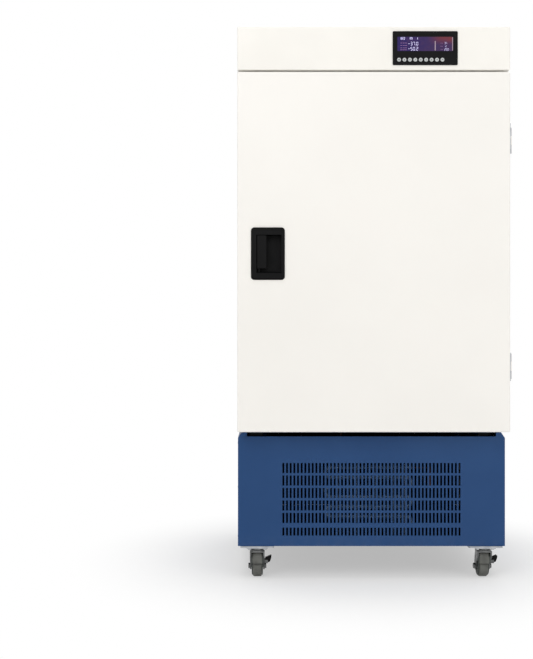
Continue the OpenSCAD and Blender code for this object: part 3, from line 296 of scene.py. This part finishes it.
def finish(name, colour, second=None, rough=(0.4, 0.5), relief=0.02, grain=900.0, blotch=6.0,
           brushed=None, dust=None, **sockets):
    """A finish: two near colours by blotches, gloss by the same, relief by grain or brushed lines, dust low down."""
    material, tree, out = new_material(name)
    shader = tree.nodes.new("ShaderNodeBsdfPrincipled")
    tree.links.new(shader.outputs[0], out.inputs["Surface"])
    if brushed:
        effect = place_group(tree, brush_group, dict(zip(("Along X", "Along Y", "Along Z"), brushed)))
        height = effect.outputs["Lines"]
    else:
        effect = place_group(tree, grain_group, {"Scale": grain, "Blotch Scale": blotch})
        height = effect.outputs["Height"]
    second = second or tuple(SECOND_SHADE * v for v in colour[:3]) + (1.0,)
    tone = two_tone(tree, effect.outputs["Blotch"], colour, second)
    gloss = ranged(tree, height if brushed else effect.outputs["Blotch"], 0.2, 0.8, rough[0], rough[1])
    if dust:
        soil = place_group(tree, dust_group, {"Top": dust})
        tone = two_tone(tree, soil.outputs["Mask"], tone, DUST_BROWN)
    tree.links.new(tone, shader.inputs["Base Color"])
    tree.links.new(gloss, shader.inputs["Roughness"])
    bump = tree.nodes.new("ShaderNodeBump")
    bump.inputs["Strength"].default_value = 1.0
    bump.inputs["Distance"].default_value = relief * MM
    tree.links.new(height, bump.inputs["Height"])
    tree.links.new(bump.outputs[0], shader.inputs["Normal"])
    for key, value in sockets.items():
        shader.inputs[key.replace("_", " ")].default_value = value
    return material


DUST_BROWN = linear(150, 145, 136)
STEEL = {"Metallic": 1.0}
finishes = {
    "white_steel": finish("powder_white", linear(247, 244, 238), linear(244, 241, 235), (0.34, 0.42), 0.03, 700, 3),
    "white_plastic": finish("moulded_white", linear(246, 243, 236), linear(242, 239, 232), (0.38, 0.48), 0.02, 1100),
    "blue_plastic": finish("moulded_blue", linear(28, 69, 118), linear(25, 65, 113), (0.42, 0.52), 0.03, 1000, 5,
                           dust=0.12, Specular_IOR_Level=0.3),
    "blue_steel": finish("powder_blue", linear(28, 69, 118), linear(25, 65, 113), (0.42, 0.52), 0.03, 800, 5,
                         dust=0.12, Specular_IOR_Level=0.3),
    "black_plastic": finish("moulded_black", linear(8, 8, 9), linear(12, 12, 13), (0.36, 0.5), 0.03, 1300, 20,
                            Specular_IOR_Level=0.11),
    # dark_parts: painted shade on the dark strips behind the wheel guards, and partly painted shade on the wheel
    # covers
    "dark_parts": finish("dark_grey_and_painted_shade", linear(60, 66, 62), None, (0.45, 0.6), 0.03, 900, 30),
    "stainless": finish("brushed_stainless", linear(196, 198, 200), linear(182, 184, 187), (0.22, 0.4), 0.01,
                        brushed=(14, 900, 900), **STEEL),
    "zinc_steel": finish("zinc_plate", linear(186, 188, 190), linear(160, 163, 168), (0.3, 0.46), 0.01, 600, 60,
                         **STEEL),
    "foam": finish("insulating_foam", linear(232, 218, 168), linear(212, 196, 140), (0.8, 0.95), 0.4, 500, 40),
    "key_plastic": finish("key_grey", linear(196, 199, 198), linear(188, 191, 190), (0.3, 0.4), 0.01, 1500, 90),
    "seal_rubber": finish("gasket_grey", linear(190, 191, 192), linear(178, 180, 181), (0.5, 0.65), 0.03, 900, 12),
    "wheel_rubber": finish("wheel_grey", linear(98, 99, 94), linear(86, 87, 83), (0.55, 0.75), 0.06, 700, 40,
                           dust=0.03),
    "copper": finish("drawn_copper", linear(86, 62, 51), linear(68, 50, 43), (0.34, 0.5), 0.01, 500, 25, **STEEL),
    "fin_aluminium": finish("rolled_aluminium", linear(190, 192, 194), linear(172, 175, 178), (0.3, 0.45), 0.01,
                            600, 40, **STEEL),
    "black_paint": finish("black_enamel", linear(15, 16, 19), linear(20, 21, 24), (0.3, 0.45), 0.04, 300, 15,
                          Specular_IOR_Level=0.12),
    "coil_paint": finish("blue_grey_enamel", linear(118, 142, 172), linear(100, 124, 152), (0.35, 0.5), 0.04, 300,
                         15),
    "caster_steel": finish("dark_chrome", linear(112, 113, 113), linear(84, 86, 86), (0.2, 0.36), 0.01, 600, 90,
                           **STEEL),
}
glass = finish("clear_glass", linear(236, 244, 243), linear(230, 240, 239), (0.02, 0.05), 0.0, 200, 4)
pane = next(n for n in glass.node_tree.nodes if n.type == "BSDF_PRINCIPLED")
pane.inputs["Transmission Weight"].default_value = 1.0
pane.inputs["IOR"].default_value = 1.5
finishes["clear_glass"] = glass
print("finishes:", len(finishes))

# %% [markdown]
# ## Display
# The lit display is deep violet, turns red-brown towards its upper right corner and is dark along its top. The
# place on the part sets the colour, so the same picture shows from every side.

# %% Display finish
LCD_LEFT, LCD_RIGHT, LCD_LOW, LCD_TOP = 0.054, 0.183, 1.233, 1.269
DARK_STRIP = (LCD_TOP - 0.004, LCD_TOP - 0.002)

lcd, lcd_tree, lcd_out = new_material("lit_display")
lcd_shader = lcd_tree.nodes.new("ShaderNodeBsdfPrincipled")
lcd_tree.links.new(lcd_shader.outputs[0], lcd_out.inputs["Surface"])
spot = lcd_tree.nodes.new("ShaderNodeSeparateXYZ")
lcd_tree.links.new(object_place(lcd_tree), spot.inputs[0])
across = ranged(lcd_tree, spot.outputs["X"], LCD_LEFT, LCD_RIGHT)
up = ranged(lcd_tree, spot.outputs["Z"], LCD_LOW, LCD_TOP)
corner = computed(lcd_tree, "MULTIPLY", ranged(lcd_tree, across, 0.55, 1.0), ranged(lcd_tree, up, 0.3, 1.0))
violet = two_tone(lcd_tree, across, linear(42, 31, 88), linear(60, 41, 80))
warm = two_tone(lcd_tree, corner, violet, linear(112, 48, 52))
stripes = ranged(lcd_tree, noise(lcd_tree, object_place(lcd_tree), 140.0), 0.35, 0.75, 0.0, 0.35)
streaks = two_tone(lcd_tree, stripes, warm, linear(74, 46, 80))
edge = two_tone(lcd_tree, ranged(lcd_tree, spot.outputs["Z"], *DARK_STRIP), streaks, linear(12, 8, 16))
lcd_tree.links.new(edge, lcd_shader.inputs["Base Color"])
lcd_tree.links.new(edge, lcd_shader.inputs["Emission Color"])
lcd_shader.inputs["Emission Strength"].default_value = 0.12
lcd_shader.inputs["Specular IOR Level"].default_value = 0.2
lcd_shader.inputs["Roughness"].default_value = 0.12
finishes["display"] = lcd


def lit_finish(name, first, second, strength):
    """A lit sign: two near colours by noise, both reflected and given off."""
    material, tree, out = new_material(name)
    shader = tree.nodes.new("ShaderNodeBsdfPrincipled")
    tree.links.new(shader.outputs[0], out.inputs["Surface"])
    tone = two_tone(tree, noise(tree, object_place(tree), 300.0), first, second)
    tree.links.new(tone, shader.inputs["Base Color"])
    tree.links.new(tone, shader.inputs["Emission Color"])
    shader.inputs["Emission Strength"].default_value = strength
    return material


digit_mat = lit_finish("lit_digit", linear(206, 198, 236), linear(184, 178, 222), 0.3)
dim_mat = lit_finish("lit_label", linear(138, 92, 142), linear(116, 78, 128), 0.2)
edge_mat = lit_finish("lit_edge", linear(166, 146, 158), linear(140, 120, 136), 0.1)

slot_of = {s["node"]: s["material_slot"] for s in frame["record"]["subparts"]}
# The cabinet half of each hinge is given the white paint so that its middle knuckle shows white: a painted highlight
# on the zinc knuckle.
slot_of.update(condenser="coil_paint", caster_plates="zinc_steel", cabinet_hinges="white_steel")
for node_name, solid in frame["nodes"].items():
    for material_slot in solid.material_slots:
        material_slot.material = finishes[slot_of[node_name]]
print("solids dressed:", len(slot_of))

# %% [markdown]
# ## Surfaces from arrays
# Each new piece is a grid of points: one direction runs along a path or round an axis, the other along a
# profile. Numpy makes the whole grid at once, and the faces follow from the grid's own order.

# %% Mesh helpers
CORNERS = ("fl", "fr", "rl", "rr")


def in_mm(box):
    """The low and high corner of a box in metres, as arrays in millimetres."""
    return [np.array(corner) / MM for corner in box]


def grid_faces(rows, columns, wrap_rows, wrap_columns, flip=False):
    """Quads between neighbours of a rows x columns grid; a wrapped direction joins its last line to its first."""
    r = np.arange(rows if wrap_rows else rows - 1)
    c = np.arange(columns if wrap_columns else columns - 1)
    r, c = [a.ravel() for a in np.meshgrid(r, c, indexing="ij")]
    r2, c2 = (r + 1) % rows, (c + 1) % columns
    quads = np.stack([r * columns + c, r2 * columns + c, r2 * columns + c2, r * columns + c2], 1)
    return quads[:, ::-1] if flip else quads


def bar_faces(rows, columns):
    """Faces of a closed section carried along an open path: the sides and the two ends."""
    ends = [list(range(columns)), list(range((rows - 1) * columns, rows * columns))]
    return [list(f) for f in grid_faces(rows, columns, False, True)] + ends


def add_piece(name, points, faces, body, slot, material=None, smooth=True, closed=True):
    """A mesh object at the origin from an (n, 3) array in metres, riding on a body. Points at a pole become one
    point, and a closed shape gets its faces turned outwards."""
    mesh = bpy.data.meshes.new(name)
    mesh.from_pydata(np.asarray(points).tolist(), [], [list(f) for f in faces])
    shell = bmesh.new()
    shell.from_mesh(mesh)
    bmesh.ops.remove_doubles(shell, verts=shell.verts, dist=1e-6)
    if closed:
        bmesh.ops.recalc_face_normals(shell, faces=shell.faces)
    shell.to_mesh(mesh)
    shell.free()
    mesh.polygons.foreach_set("use_smooth", [smooth] * len(mesh.polygons))
    mesh.materials.append(material or finishes[slot])
    piece = bpy.data.objects.new(name, mesh)
    bpy.context.scene.collection.objects.link(piece)
    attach(piece, body)
    print(name, "faces:", len(mesh.polygons))
    return piece


def rounded_rectangle(width, height, radius, corner_steps=8):
    """Points and outward normals round a rectangle: quarter circles at the corners joined by straight sides."""
    angle = np.linspace(0, math.pi / 2, corner_steps)
    quarter = [angle + k * math.pi / 2 for k in range(4)]
    middle = [(1, 1), (-1, 1), (-1, -1), (1, -1)]
    points, normals = [], []
    for a, (sx, sz) in zip(quarter, middle):
        n = np.stack([np.cos(a), np.sin(a)], 1)
        points.append(n * radius + [sx * (width / 2 - radius), sz * (height / 2 - radius)])
        normals.append(n)
    return np.concatenate(points), np.concatenate(normals)


def frame_trim(name, centre, width, height, radius, profile, body, slot, material=None):
    """A closed profile of (outward, depth) pairs carried round a rounded rectangle that faces -Y."""
    ring, normals = rounded_rectangle(width, height, radius)
    profile = np.asarray(profile, float)
    flat = ring[:, None, :] + normals[:, None, :] * profile[None, :, :1]
    depth = np.broadcast_to(profile[None, :, 1], flat.shape[:2])
    points = np.stack([flat[..., 0] + centre[0], depth, flat[..., 1] + centre[1]], -1) * MM
    rows, columns = points.shape[:2]
    area = np.sum(profile[:, 0] * np.roll(profile[:, 1], -1) - np.roll(profile[:, 0], -1) * profile[:, 1])
    return add_piece(name, points.reshape(-1, 3), grid_faces(rows, columns, True, True, area > 0), body, slot,
                     material)


def turned(profile, steps):
    """The grid of a profile of (radius, height) pairs turned once about +Z; the points at a pole coincide."""
    profile = np.asarray(profile, float)
    a = np.linspace(0, 2 * math.pi, steps, endpoint=False)
    ring = np.stack([np.cos(a), np.sin(a)], 1)
    xy = ring[:, None, :] * profile[None, :, :1]
    z = np.broadcast_to(profile[None, :, 1], xy.shape[:2])
    return np.concatenate([xy, z[..., None]], -1)


print("corners:", ", ".join(CORNERS))

# %% [markdown]
# ## Door gasket
# A refrigerator gasket is an extruded strip: a foot that snaps into the door, thin bellows that fold, and a
# bulb with the magnet inside. Only the profile is drawn; it is carried round the door on a rounded rectangle.

# %% Door gasket
gasket_low, gasket_high = in_mm(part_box("door_gasket"))
door_back, seal_front = gasket_low[1], gasket_high[1]
gasket_width = gasket_high[0] - gasket_low[0]
gasket_height = gasket_high[2] - gasket_low[2]
gasket_middle = (gasket_low + gasket_high) / 2
depth = seal_front - door_back
bellows = [(-17.6, 0), (-0.4, 0), (0, 0.5), (-0.6, 1.3), (-5.5, 1.5), (-6.3, 1.9), (-5.3, 2.3), (-6.2, 2.8),
           (-5.2, 3.2), (-1.6, 3.5), (-0.6, 4.1), (-0.5, 5.4), (-1.4, 6.6), (-3.2, depth), (-14.8, depth),
           (-16.6, 6.6), (-17.5, 5.4), (-17.4, 4.1), (-16.4, 3.5), (-12.8, 3.2), (-11.8, 2.8), (-12.7, 2.3),
           (-11.7, 1.9), (-12.5, 1.5), (-17.4, 1.3), (-18, 0.5)]
bellows = [(o, door_back + d) for o, d in bellows]
gasket = frame_trim("gasket_strip", (gasket_middle[0], gasket_middle[2]), gasket_width, gasket_height, 14,
                    bellows, "door", "seal_rubber")
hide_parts("door_gasket")

# %% [markdown]
# ## Handle seal
# The handle's flange sits on a thin rubber seal that shows as a narrow dark edge round it. It is the same kind of
# carried profile, with a rolled outer edge.

# %% Handle seal
SEAL_WIDER, SEAL_HIGHER, SEAL_SHIFT = 3.4, 4.4, (-0.4, -1)

bezel_low, bezel_high = in_mm(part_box("handle_bezel"))
door_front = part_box("door_skin")[0][1] / MM
seal_width = bezel_high[0] - bezel_low[0] + SEAL_WIDER
seal_height = bezel_high[2] - bezel_low[2] + SEAL_HIGHER
seal_centre = ((bezel_low[0] + bezel_high[0]) / 2 + SEAL_SHIFT[0], (bezel_low[2] + bezel_high[2]) / 2 + SEAL_SHIFT[1])
rolled = [(-3.4, 0), (-0.2, 0), (0, -0.3), (0, -0.8), (-0.25, -1.2), (-0.7, -1.4), (-3.4, -1.4)]
frame_trim("handle_seal", seal_centre, seal_width, seal_height, 8, [(o, door_front + d) for o, d in rolled],
           "door", "seal_rubber", finishes["black_plastic"])

# %% [markdown]
# ## What the display shows
# The picture has a row of signs, two rows of readings with a dim label each, an upright bar gauge and a small
# block on the right. Digits are drawn as such displays draw them, with seven bars that have pointed ends: one
# bar is a six-sided outline, and a table says which bars each digit lights.

# %% Signs and digits on the display
LIT = {"-": "g", "0": "abcdef", "1": "bc", "2": "abged", "3": "abgcd", "5": "afgcd", "7": "abc"}
BARS = {"a": (0, 1, 0), "b": (0.5, 0.5, 1), "c": (0.5, -0.5, 1), "d": (0, -1, 0), "e": (-0.5, -0.5, 1),
        "f": (-0.5, 0.5, 1), "g": (0, 0, 0)}
FILM = 0.06
display_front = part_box("display_module")[0][1] / MM - FILM


def bar_shape(x, z, long, thin, upright=False):
    """A bar centred on (x, z): long to each side, thin above and below, with pointed ends."""
    shape = np.array([(-long, 0), (-long + thin, thin), (long - thin, thin), (long, 0), (long - thin, -thin),
                      (-long + thin, -thin)])
    return (shape[:, ::-1] if upright else shape) + [x, z]


def reading(text, left, low, height):
    """The lit bars of a row of digits that starts at left and stands on low."""
    wide, pen, shapes = height * 0.5, left, []
    for letter in text:
        if letter == ".":
            shapes.append(bar_shape(pen, low + height * 0.07, height * 0.07, height * 0.06))
            pen += height * 0.2
            continue
        for bar in LIT[letter]:
            bx, bz, upright = BARS[bar]
            shapes.append(bar_shape(pen + wide / 2 + bx * wide * 0.86, low + height / 2 * (1 + bz * 0.9),
                                    height * 0.2, height * 0.075, upright))
        pen += wide * 1.4
    return shapes


def lit_piece(name, shapes, material):
    """All six-sided outlines as one flat piece just in front of the display."""
    outline = np.array(shapes)
    points = np.stack([outline[..., 0], np.full(outline.shape[:2], display_front), outline[..., 1]], -1) * MM
    faces = np.arange(outline.shape[0] * 6).reshape(-1, 6)[:, ::-1]
    return add_piece(name, points.reshape(-1, 3), faces, "cabinet", "display", material, smooth=False, closed=False)


bright = reading("-37.0", 79, 1246.2, 8.2) + reading("-50.2", 79, 1234.4, 8.2)
bright += reading("37", 163, 1249.5, 4.4) + reading("12", 163, 1242.4, 3.8) + reading("250", 163, 1234.6, 5.0)
bright += [bar_shape(x, z, 2.2, 0.55) for x in (64, 70) for z in (1260.2, 1262.4, 1264.6)]
bright += [bar_shape(x, 1262.4, 2.6, 0.6, True) for x in (62.4, 66, 83.5, 88.5, 101)]
bright += [bar_shape(86, z, 2.4, 0.6) for z in (1261.2, 1264.4)]
lit_piece("display_readings", bright, digit_mat)
lit_piece("display_edge_line", [bar_shape(181.6, 1249.7, 15.8, 0.9, True), bar_shape(141.6, 1245.4, 11.4, 1.1, True)],
          edge_mat)
dim = [bar_shape(x, z, 2.4, 0.55) for x in (63.4, 69.2, 74) for z in (1236.2, 1240.6, 1246.2, 1251.8)]
dim += [bar_shape(x, z, 1.1, 0.5) for x in (155, 158) for z in (1237, 1244.4, 1251.4)]
lit_piece("display_labels", dim, dim_mat)

# %% [markdown]
# ## Key caps
# Each key is a round cap with a soft edge, a shallow dish for the fingertip and a dark printed sign. A turned
# profile gives the cap: its height is 0.10 + 0.14 sin(pi t^2) - 0.10 t^6 at t from the middle to the rim. The sign
# is a few bars laid over the dish, listed as (x, z, half length, half width, upright).

# %% Key caps
SIGNS = [[(0, 1.1, 1.5, 0.4, 0), (0, -1.1, 1.5, 0.4, 0), (1.1, 0, 1.5, 0.4, 1), (-1.1, 0, 1.5, 0.4, 1)],
         [(0, 0, 1.7, 0.45, 0), (0, -1.1, 1.2, 0.4, 0)], [(0, 0, 1.9, 0.6, 1)],
         [(0, 1.2, 1.3, 0.4, 0), (0.9, 0, 1.2, 0.4, 1)], [(0, -0.3, 1.9, 0.6, 1), (0.6, 0.9, 1, 0.4, 0)],
         [(0, 0.8, 1.6, 0.4, 0), (0, -0.8, 1.6, 0.4, 0)], [(-0.6, 0, 1.6, 0.4, 1), (0.6, 0, 1.6, 0.4, 1)],
         [(0.5, 0, 1.7, 0.5, 1), (-0.4, 0, 1.1, 0.4, 0)], [(0, 0, 1.8, 0.5, 0), (1, 0.8, 1, 0.4, 1)]]
CAP_RADIUS, CAP_STEPS, SIGN_LIFT = 4.2, 32, 0.27
t = np.linspace(0, 1, 9)
dish = np.stack([CAP_RADIUS * t, 0.10 + 0.14 * np.sin(math.pi * t ** 2) - 0.10 * t ** 6], 1)
cap = turned(np.concatenate([dish, [[CAP_RADIUS, 0.0]]]), CAP_STEPS)
cap_faces = grid_faces(*cap.shape[:2], True, False)
for number in range(1, 10):
    low, high = in_mm(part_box("key_%d" % number))
    x, z = (low[0] + high[0]) / 2, (low[2] + high[2]) / 2
    points = np.stack([cap[..., 0] + x, low[1] - cap[..., 2], cap[..., 1] + z], -1).reshape(-1, 3) * MM
    sign = np.array([bar_shape(x + dx, z + dz, a, b, bool(up)) for dx, dz, a, b, up in SIGNS[number - 1]])
    sign_y = np.full(sign.shape[:2], low[1] - SIGN_LIFT)
    sign = np.stack([sign[..., 0], sign_y, sign[..., 1]], -1).reshape(-1, 3) * MM
    sign_faces = (np.arange(len(sign)).reshape(-1, 6) + len(points))[:, ::-1]
    cap_piece = add_piece("key_cap_%d" % number, np.concatenate([points, sign]),
                          [list(f) for f in cap_faces] + [list(f) for f in sign_faces], "key_cap_%d" % number,
                          "key_plastic", closed=False)
    cap_piece.data.materials.append(finishes["black_plastic"])
    for polygon in cap_piece.data.polygons[-len(sign_faces):]:
        polygon.material_index = 1

# %% [markdown]
# ## Screws
# Sheet panels are held by pan-head screws with a cross. The head is a dome over a grid of radius and angle, and
# the cross is where the height drops, so no cutting is needed.

# %% Screws of the panels
SCREW_RADIUS, SCREW_HEIGHT = 3.6, 1.5
SCREW_INSET = 12
BACK_SCREW_X, BASE_BACK_SCREW_X, BASE_SIDE = 302, 296, 315


def screw_head(radius, height, steps=24, rings=7):
    """A dome of height * sqrt(1 - r^2) with a cross pressed in: near the two centre lines the surface drops."""
    t = np.linspace(0.0, 1.0, rings)
    a = np.linspace(0, 2 * math.pi, steps, endpoint=False)
    r, angle = np.meshgrid(t, a, indexing="ij")
    u, v = r * np.cos(angle), r * np.sin(angle)
    arm = np.minimum(np.abs(u), np.abs(v)) < 0.14
    dome = height * np.sqrt(np.clip(1 - r ** 2, 0, 1)) + 0.05
    dome = dome - np.where(arm & (r < 0.62), height * 0.55, 0.0)
    return np.stack([u * radius, v * radius, np.where(r >= 1, 0.0, dome)], -1)


def screws(name, places, normal, body, slot):
    """Screw heads at places (mm), standing out along the normal."""
    head = screw_head(SCREW_RADIUS, SCREW_HEIGHT)
    normal = np.array(normal, float)
    side = np.cross(normal, [0, 0, 1.0])
    up = np.cross(side, normal)
    basis = np.stack([side, up, normal])
    shape = head.reshape(-1, 3) @ basis
    points = (np.asarray(places, float)[:, None, :] + shape[None]) * MM
    rows, columns = head.shape[:2]
    quads = grid_faces(rows, columns, False, True, True)
    faces = (quads[None] + (np.arange(len(places)) * rows * columns)[:, None, None]).reshape(-1, 4)
    return add_piece(name, points.reshape(-1, 3), faces, body, slot)


back_low, back_high = in_mm(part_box("back_panel"))
heights = np.linspace(back_low[2] + SCREW_INSET, back_high[2] - SCREW_INSET, 7)
back_places = [(s * BACK_SCREW_X, back_high[1], z) for s in (-1, 1) for z in heights]
back_places += [(x, back_high[1], heights[k]) for x in (-150, 0, 150) for k in (0, -1)]
screws("back_screws", back_places, (0, 1, 0), "cabinet", "zinc_steel")
base_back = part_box("base_panels")[1][1] / MM
screws("base_back_screws", [(s * BASE_BACK_SCREW_X, base_back, z) for s in (-1, 1) for z in (100, 215, 330)],
       (0, 1, 0), "cabinet", "zinc_steel")
for side, name in ((-1, "left"), (1, "right")):
    screws("base_%s_screws" % name, [(side * BASE_SIDE, y, z) for y in (-235, 300) for z in (98, 215, 320)],
           (side, 0, 0), "cabinet", "zinc_steel")

# %% [markdown]
# ## Wheel covers
# A caster wheel has a pressed cover on each side that keeps thread out of the bearing. It is a shallow turned
# dish that fills the space between the tread and the fork leg, with half a millimetre to run in.

# %% Wheel covers
COVER_PROFILE = [(11.7, 10.7), (21.2, 10.7), (22, 11.2), (21.8, 12.2), (20.6, 12.9), (17, 13.4), (13, 13.4),
                 (12.2, 13), (11.7, 12.2)]
COVER_STEPS = 40

cover = turned(COVER_PROFILE, COVER_STEPS)
cover_faces = grid_faces(COVER_STEPS, len(COVER_PROFILE), True, True)
# The covers' dark grey is partly painted shade: it darkens the space between tread and fork leg, where the caster is
# in shade.
for corner_name in CORNERS:
    low, high = in_mm(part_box("caster_wheel_" + corner_name))
    centre = (low + high) / 2
    sides = [np.stack([s * cover[..., 2], cover[..., 0], cover[..., 1]], -1) + centre for s in (-1, 1)]
    add_piece("wheel_cover_" + corner_name, np.concatenate(sides).reshape(-1, 3) * MM,
              np.concatenate([cover_faces, cover_faces + COVER_STEPS * len(COVER_PROFILE)]),
              "wheel_" + corner_name, "dark_parts")

# %% [markdown]
# ## Wheel guards
# A grey plastic guard hangs under the crown of each fork and curves down in front of the wheel, with a wider dark
# strip close behind it: painted shade that fills the gaps between the guard and the fork legs. The path of both is a
# quadratic Bezier curve in millimetres from the axle. A strip with a slightly rounded face is carried along it.

# %% Wheel guards
GUARD_PATH = np.array([(-22, 36), (-28.5, 30), (-28.2, 10)])
# The second entry is a dark strip of painted shade behind each guard.
GUARD_PARTS = (("wheel_guard_", 11.4, 0, "wheel_rubber"), ("gap_shade_strip_", 14.3, 1.4, "dark_parts"))


def guard(centre, half_width, back, thick=1.4, rise=0.8):
    """Points of a strip along p(t) = (1 - t)^2 start + 2 t (1 - t) bend + t^2 end in the Y-Z plane. Each section
    point is p + n * offset, where the normal n is (tz, -ty) for the path's direction (ty, tz). The face has the
    offset thick / 2 + rise (1 - u^2) at u in -1..1 across."""
    t = np.linspace(0, 1, 17)[:, None]
    start, bend, end = GUARD_PATH + [back, 0]
    path = (1 - t) ** 2 * start + 2 * t * (1 - t) * bend + t ** 2 * end
    along = np.gradient(path, axis=0)
    along /= np.linalg.norm(along, axis=1)[:, None]
    normal = np.stack([along[:, 1], -along[:, 0]], 1)
    u = np.linspace(-1, 1, 11)
    across = half_width * np.concatenate([u, u[::-1]])
    offset = np.concatenate([thick / 2 + rise * (1 - u ** 2), np.full(11, -thick / 2)])
    flat = path[:, None] + normal[:, None] * offset[None, :, None]
    return np.stack([np.broadcast_to(across, flat.shape[:2]), flat[..., 0], flat[..., 1]], -1) + centre


for corner_name in CORNERS:
    low, high = in_mm(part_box("caster_wheel_" + corner_name))
    for part, half_width, back, slot in GUARD_PARTS:
        strip = guard((low + high) / 2, half_width, back)
        add_piece(part + corner_name, strip.reshape(-1, 3) * MM, bar_faces(*strip.shape[:2]), "fork_" + corner_name,
                  slot)

# %% [markdown]
# ## Lamp diffuser
# The chamber lamp has a frosted cover: half an ellipse carried along X. Both radii shrink at the ends by the factor
# sqrt(1 - (x / a)^24), where a is a little more than half the length.

# %% Lamp diffuser
DIFFUSER_HALF, DIFFUSER_REACH, DIFFUSER_DROP = 118, 8.5, 3.5

lamp_low, lamp_high = in_mm(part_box("chamber_lamp"))
lamp_y = (lamp_low[1] + lamp_high[1]) / 2
arc = np.linspace(0, math.pi, 17)
lamp_x = np.linspace(-DIFFUSER_HALF, DIFFUSER_HALF, 13)
swell = np.sqrt(np.clip(1 - (np.abs(lamp_x) / (DIFFUSER_HALF + 0.5)) ** 24, 0, 1))
diffuser = np.stack(np.broadcast_arrays(
    lamp_x[:, None], lamp_y + DIFFUSER_REACH * np.cos(arc)[None] * swell[:, None],
    lamp_low[2] - DIFFUSER_DROP * np.sin(arc)[None] * swell[:, None]), -1) * MM
add_piece("lamp_diffuser", diffuser.reshape(-1, 3), grid_faces(13, 17, False, False), "cabinet", "white_plastic")

# %% [markdown]
# ## Dust filter
# A pleated black mat lies inside the rear panel, behind its vents. Its folds are a cosine wave along X. Its black is
# partly painted shade, which keeps the inside of the base dark behind the vents.

# %% Dust filter
FILTER_HALF, FILTER_HEIGHTS = 248, (226, 334)
PANEL_SHEET, FILTER_GAP = 3, 1.8


def pleated_mat(half_width, middle_y, low_z, high_z, pitch=8.0, fold=0.6, thick=0.8, steps=8):
    """Points of a mat: at each x both faces stand at middle_y + fold * cos(2 pi x / pitch), half of thick apart."""
    x = np.linspace(-half_width, half_width, int(2 * half_width / pitch) * steps + 1)
    wave = middle_y + fold * np.cos(2 * math.pi * x / pitch)
    y = np.stack([wave - thick / 2, wave - thick / 2, wave + thick / 2, wave + thick / 2], 1)
    z = np.broadcast_to(np.array([low_z, high_z, high_z, low_z]), y.shape)
    return np.stack([np.broadcast_to(x[:, None], y.shape), y, z], -1)


panel_high = in_mm(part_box("base_panels"))[1]
mat = pleated_mat(FILTER_HALF, panel_high[1] - PANEL_SHEET - FILTER_GAP, *FILTER_HEIGHTS)
add_piece("dust_filter", mat.reshape(-1, 3) * MM, bar_faces(*mat.shape[:2]), "cabinet", "black_plastic", smooth=False)
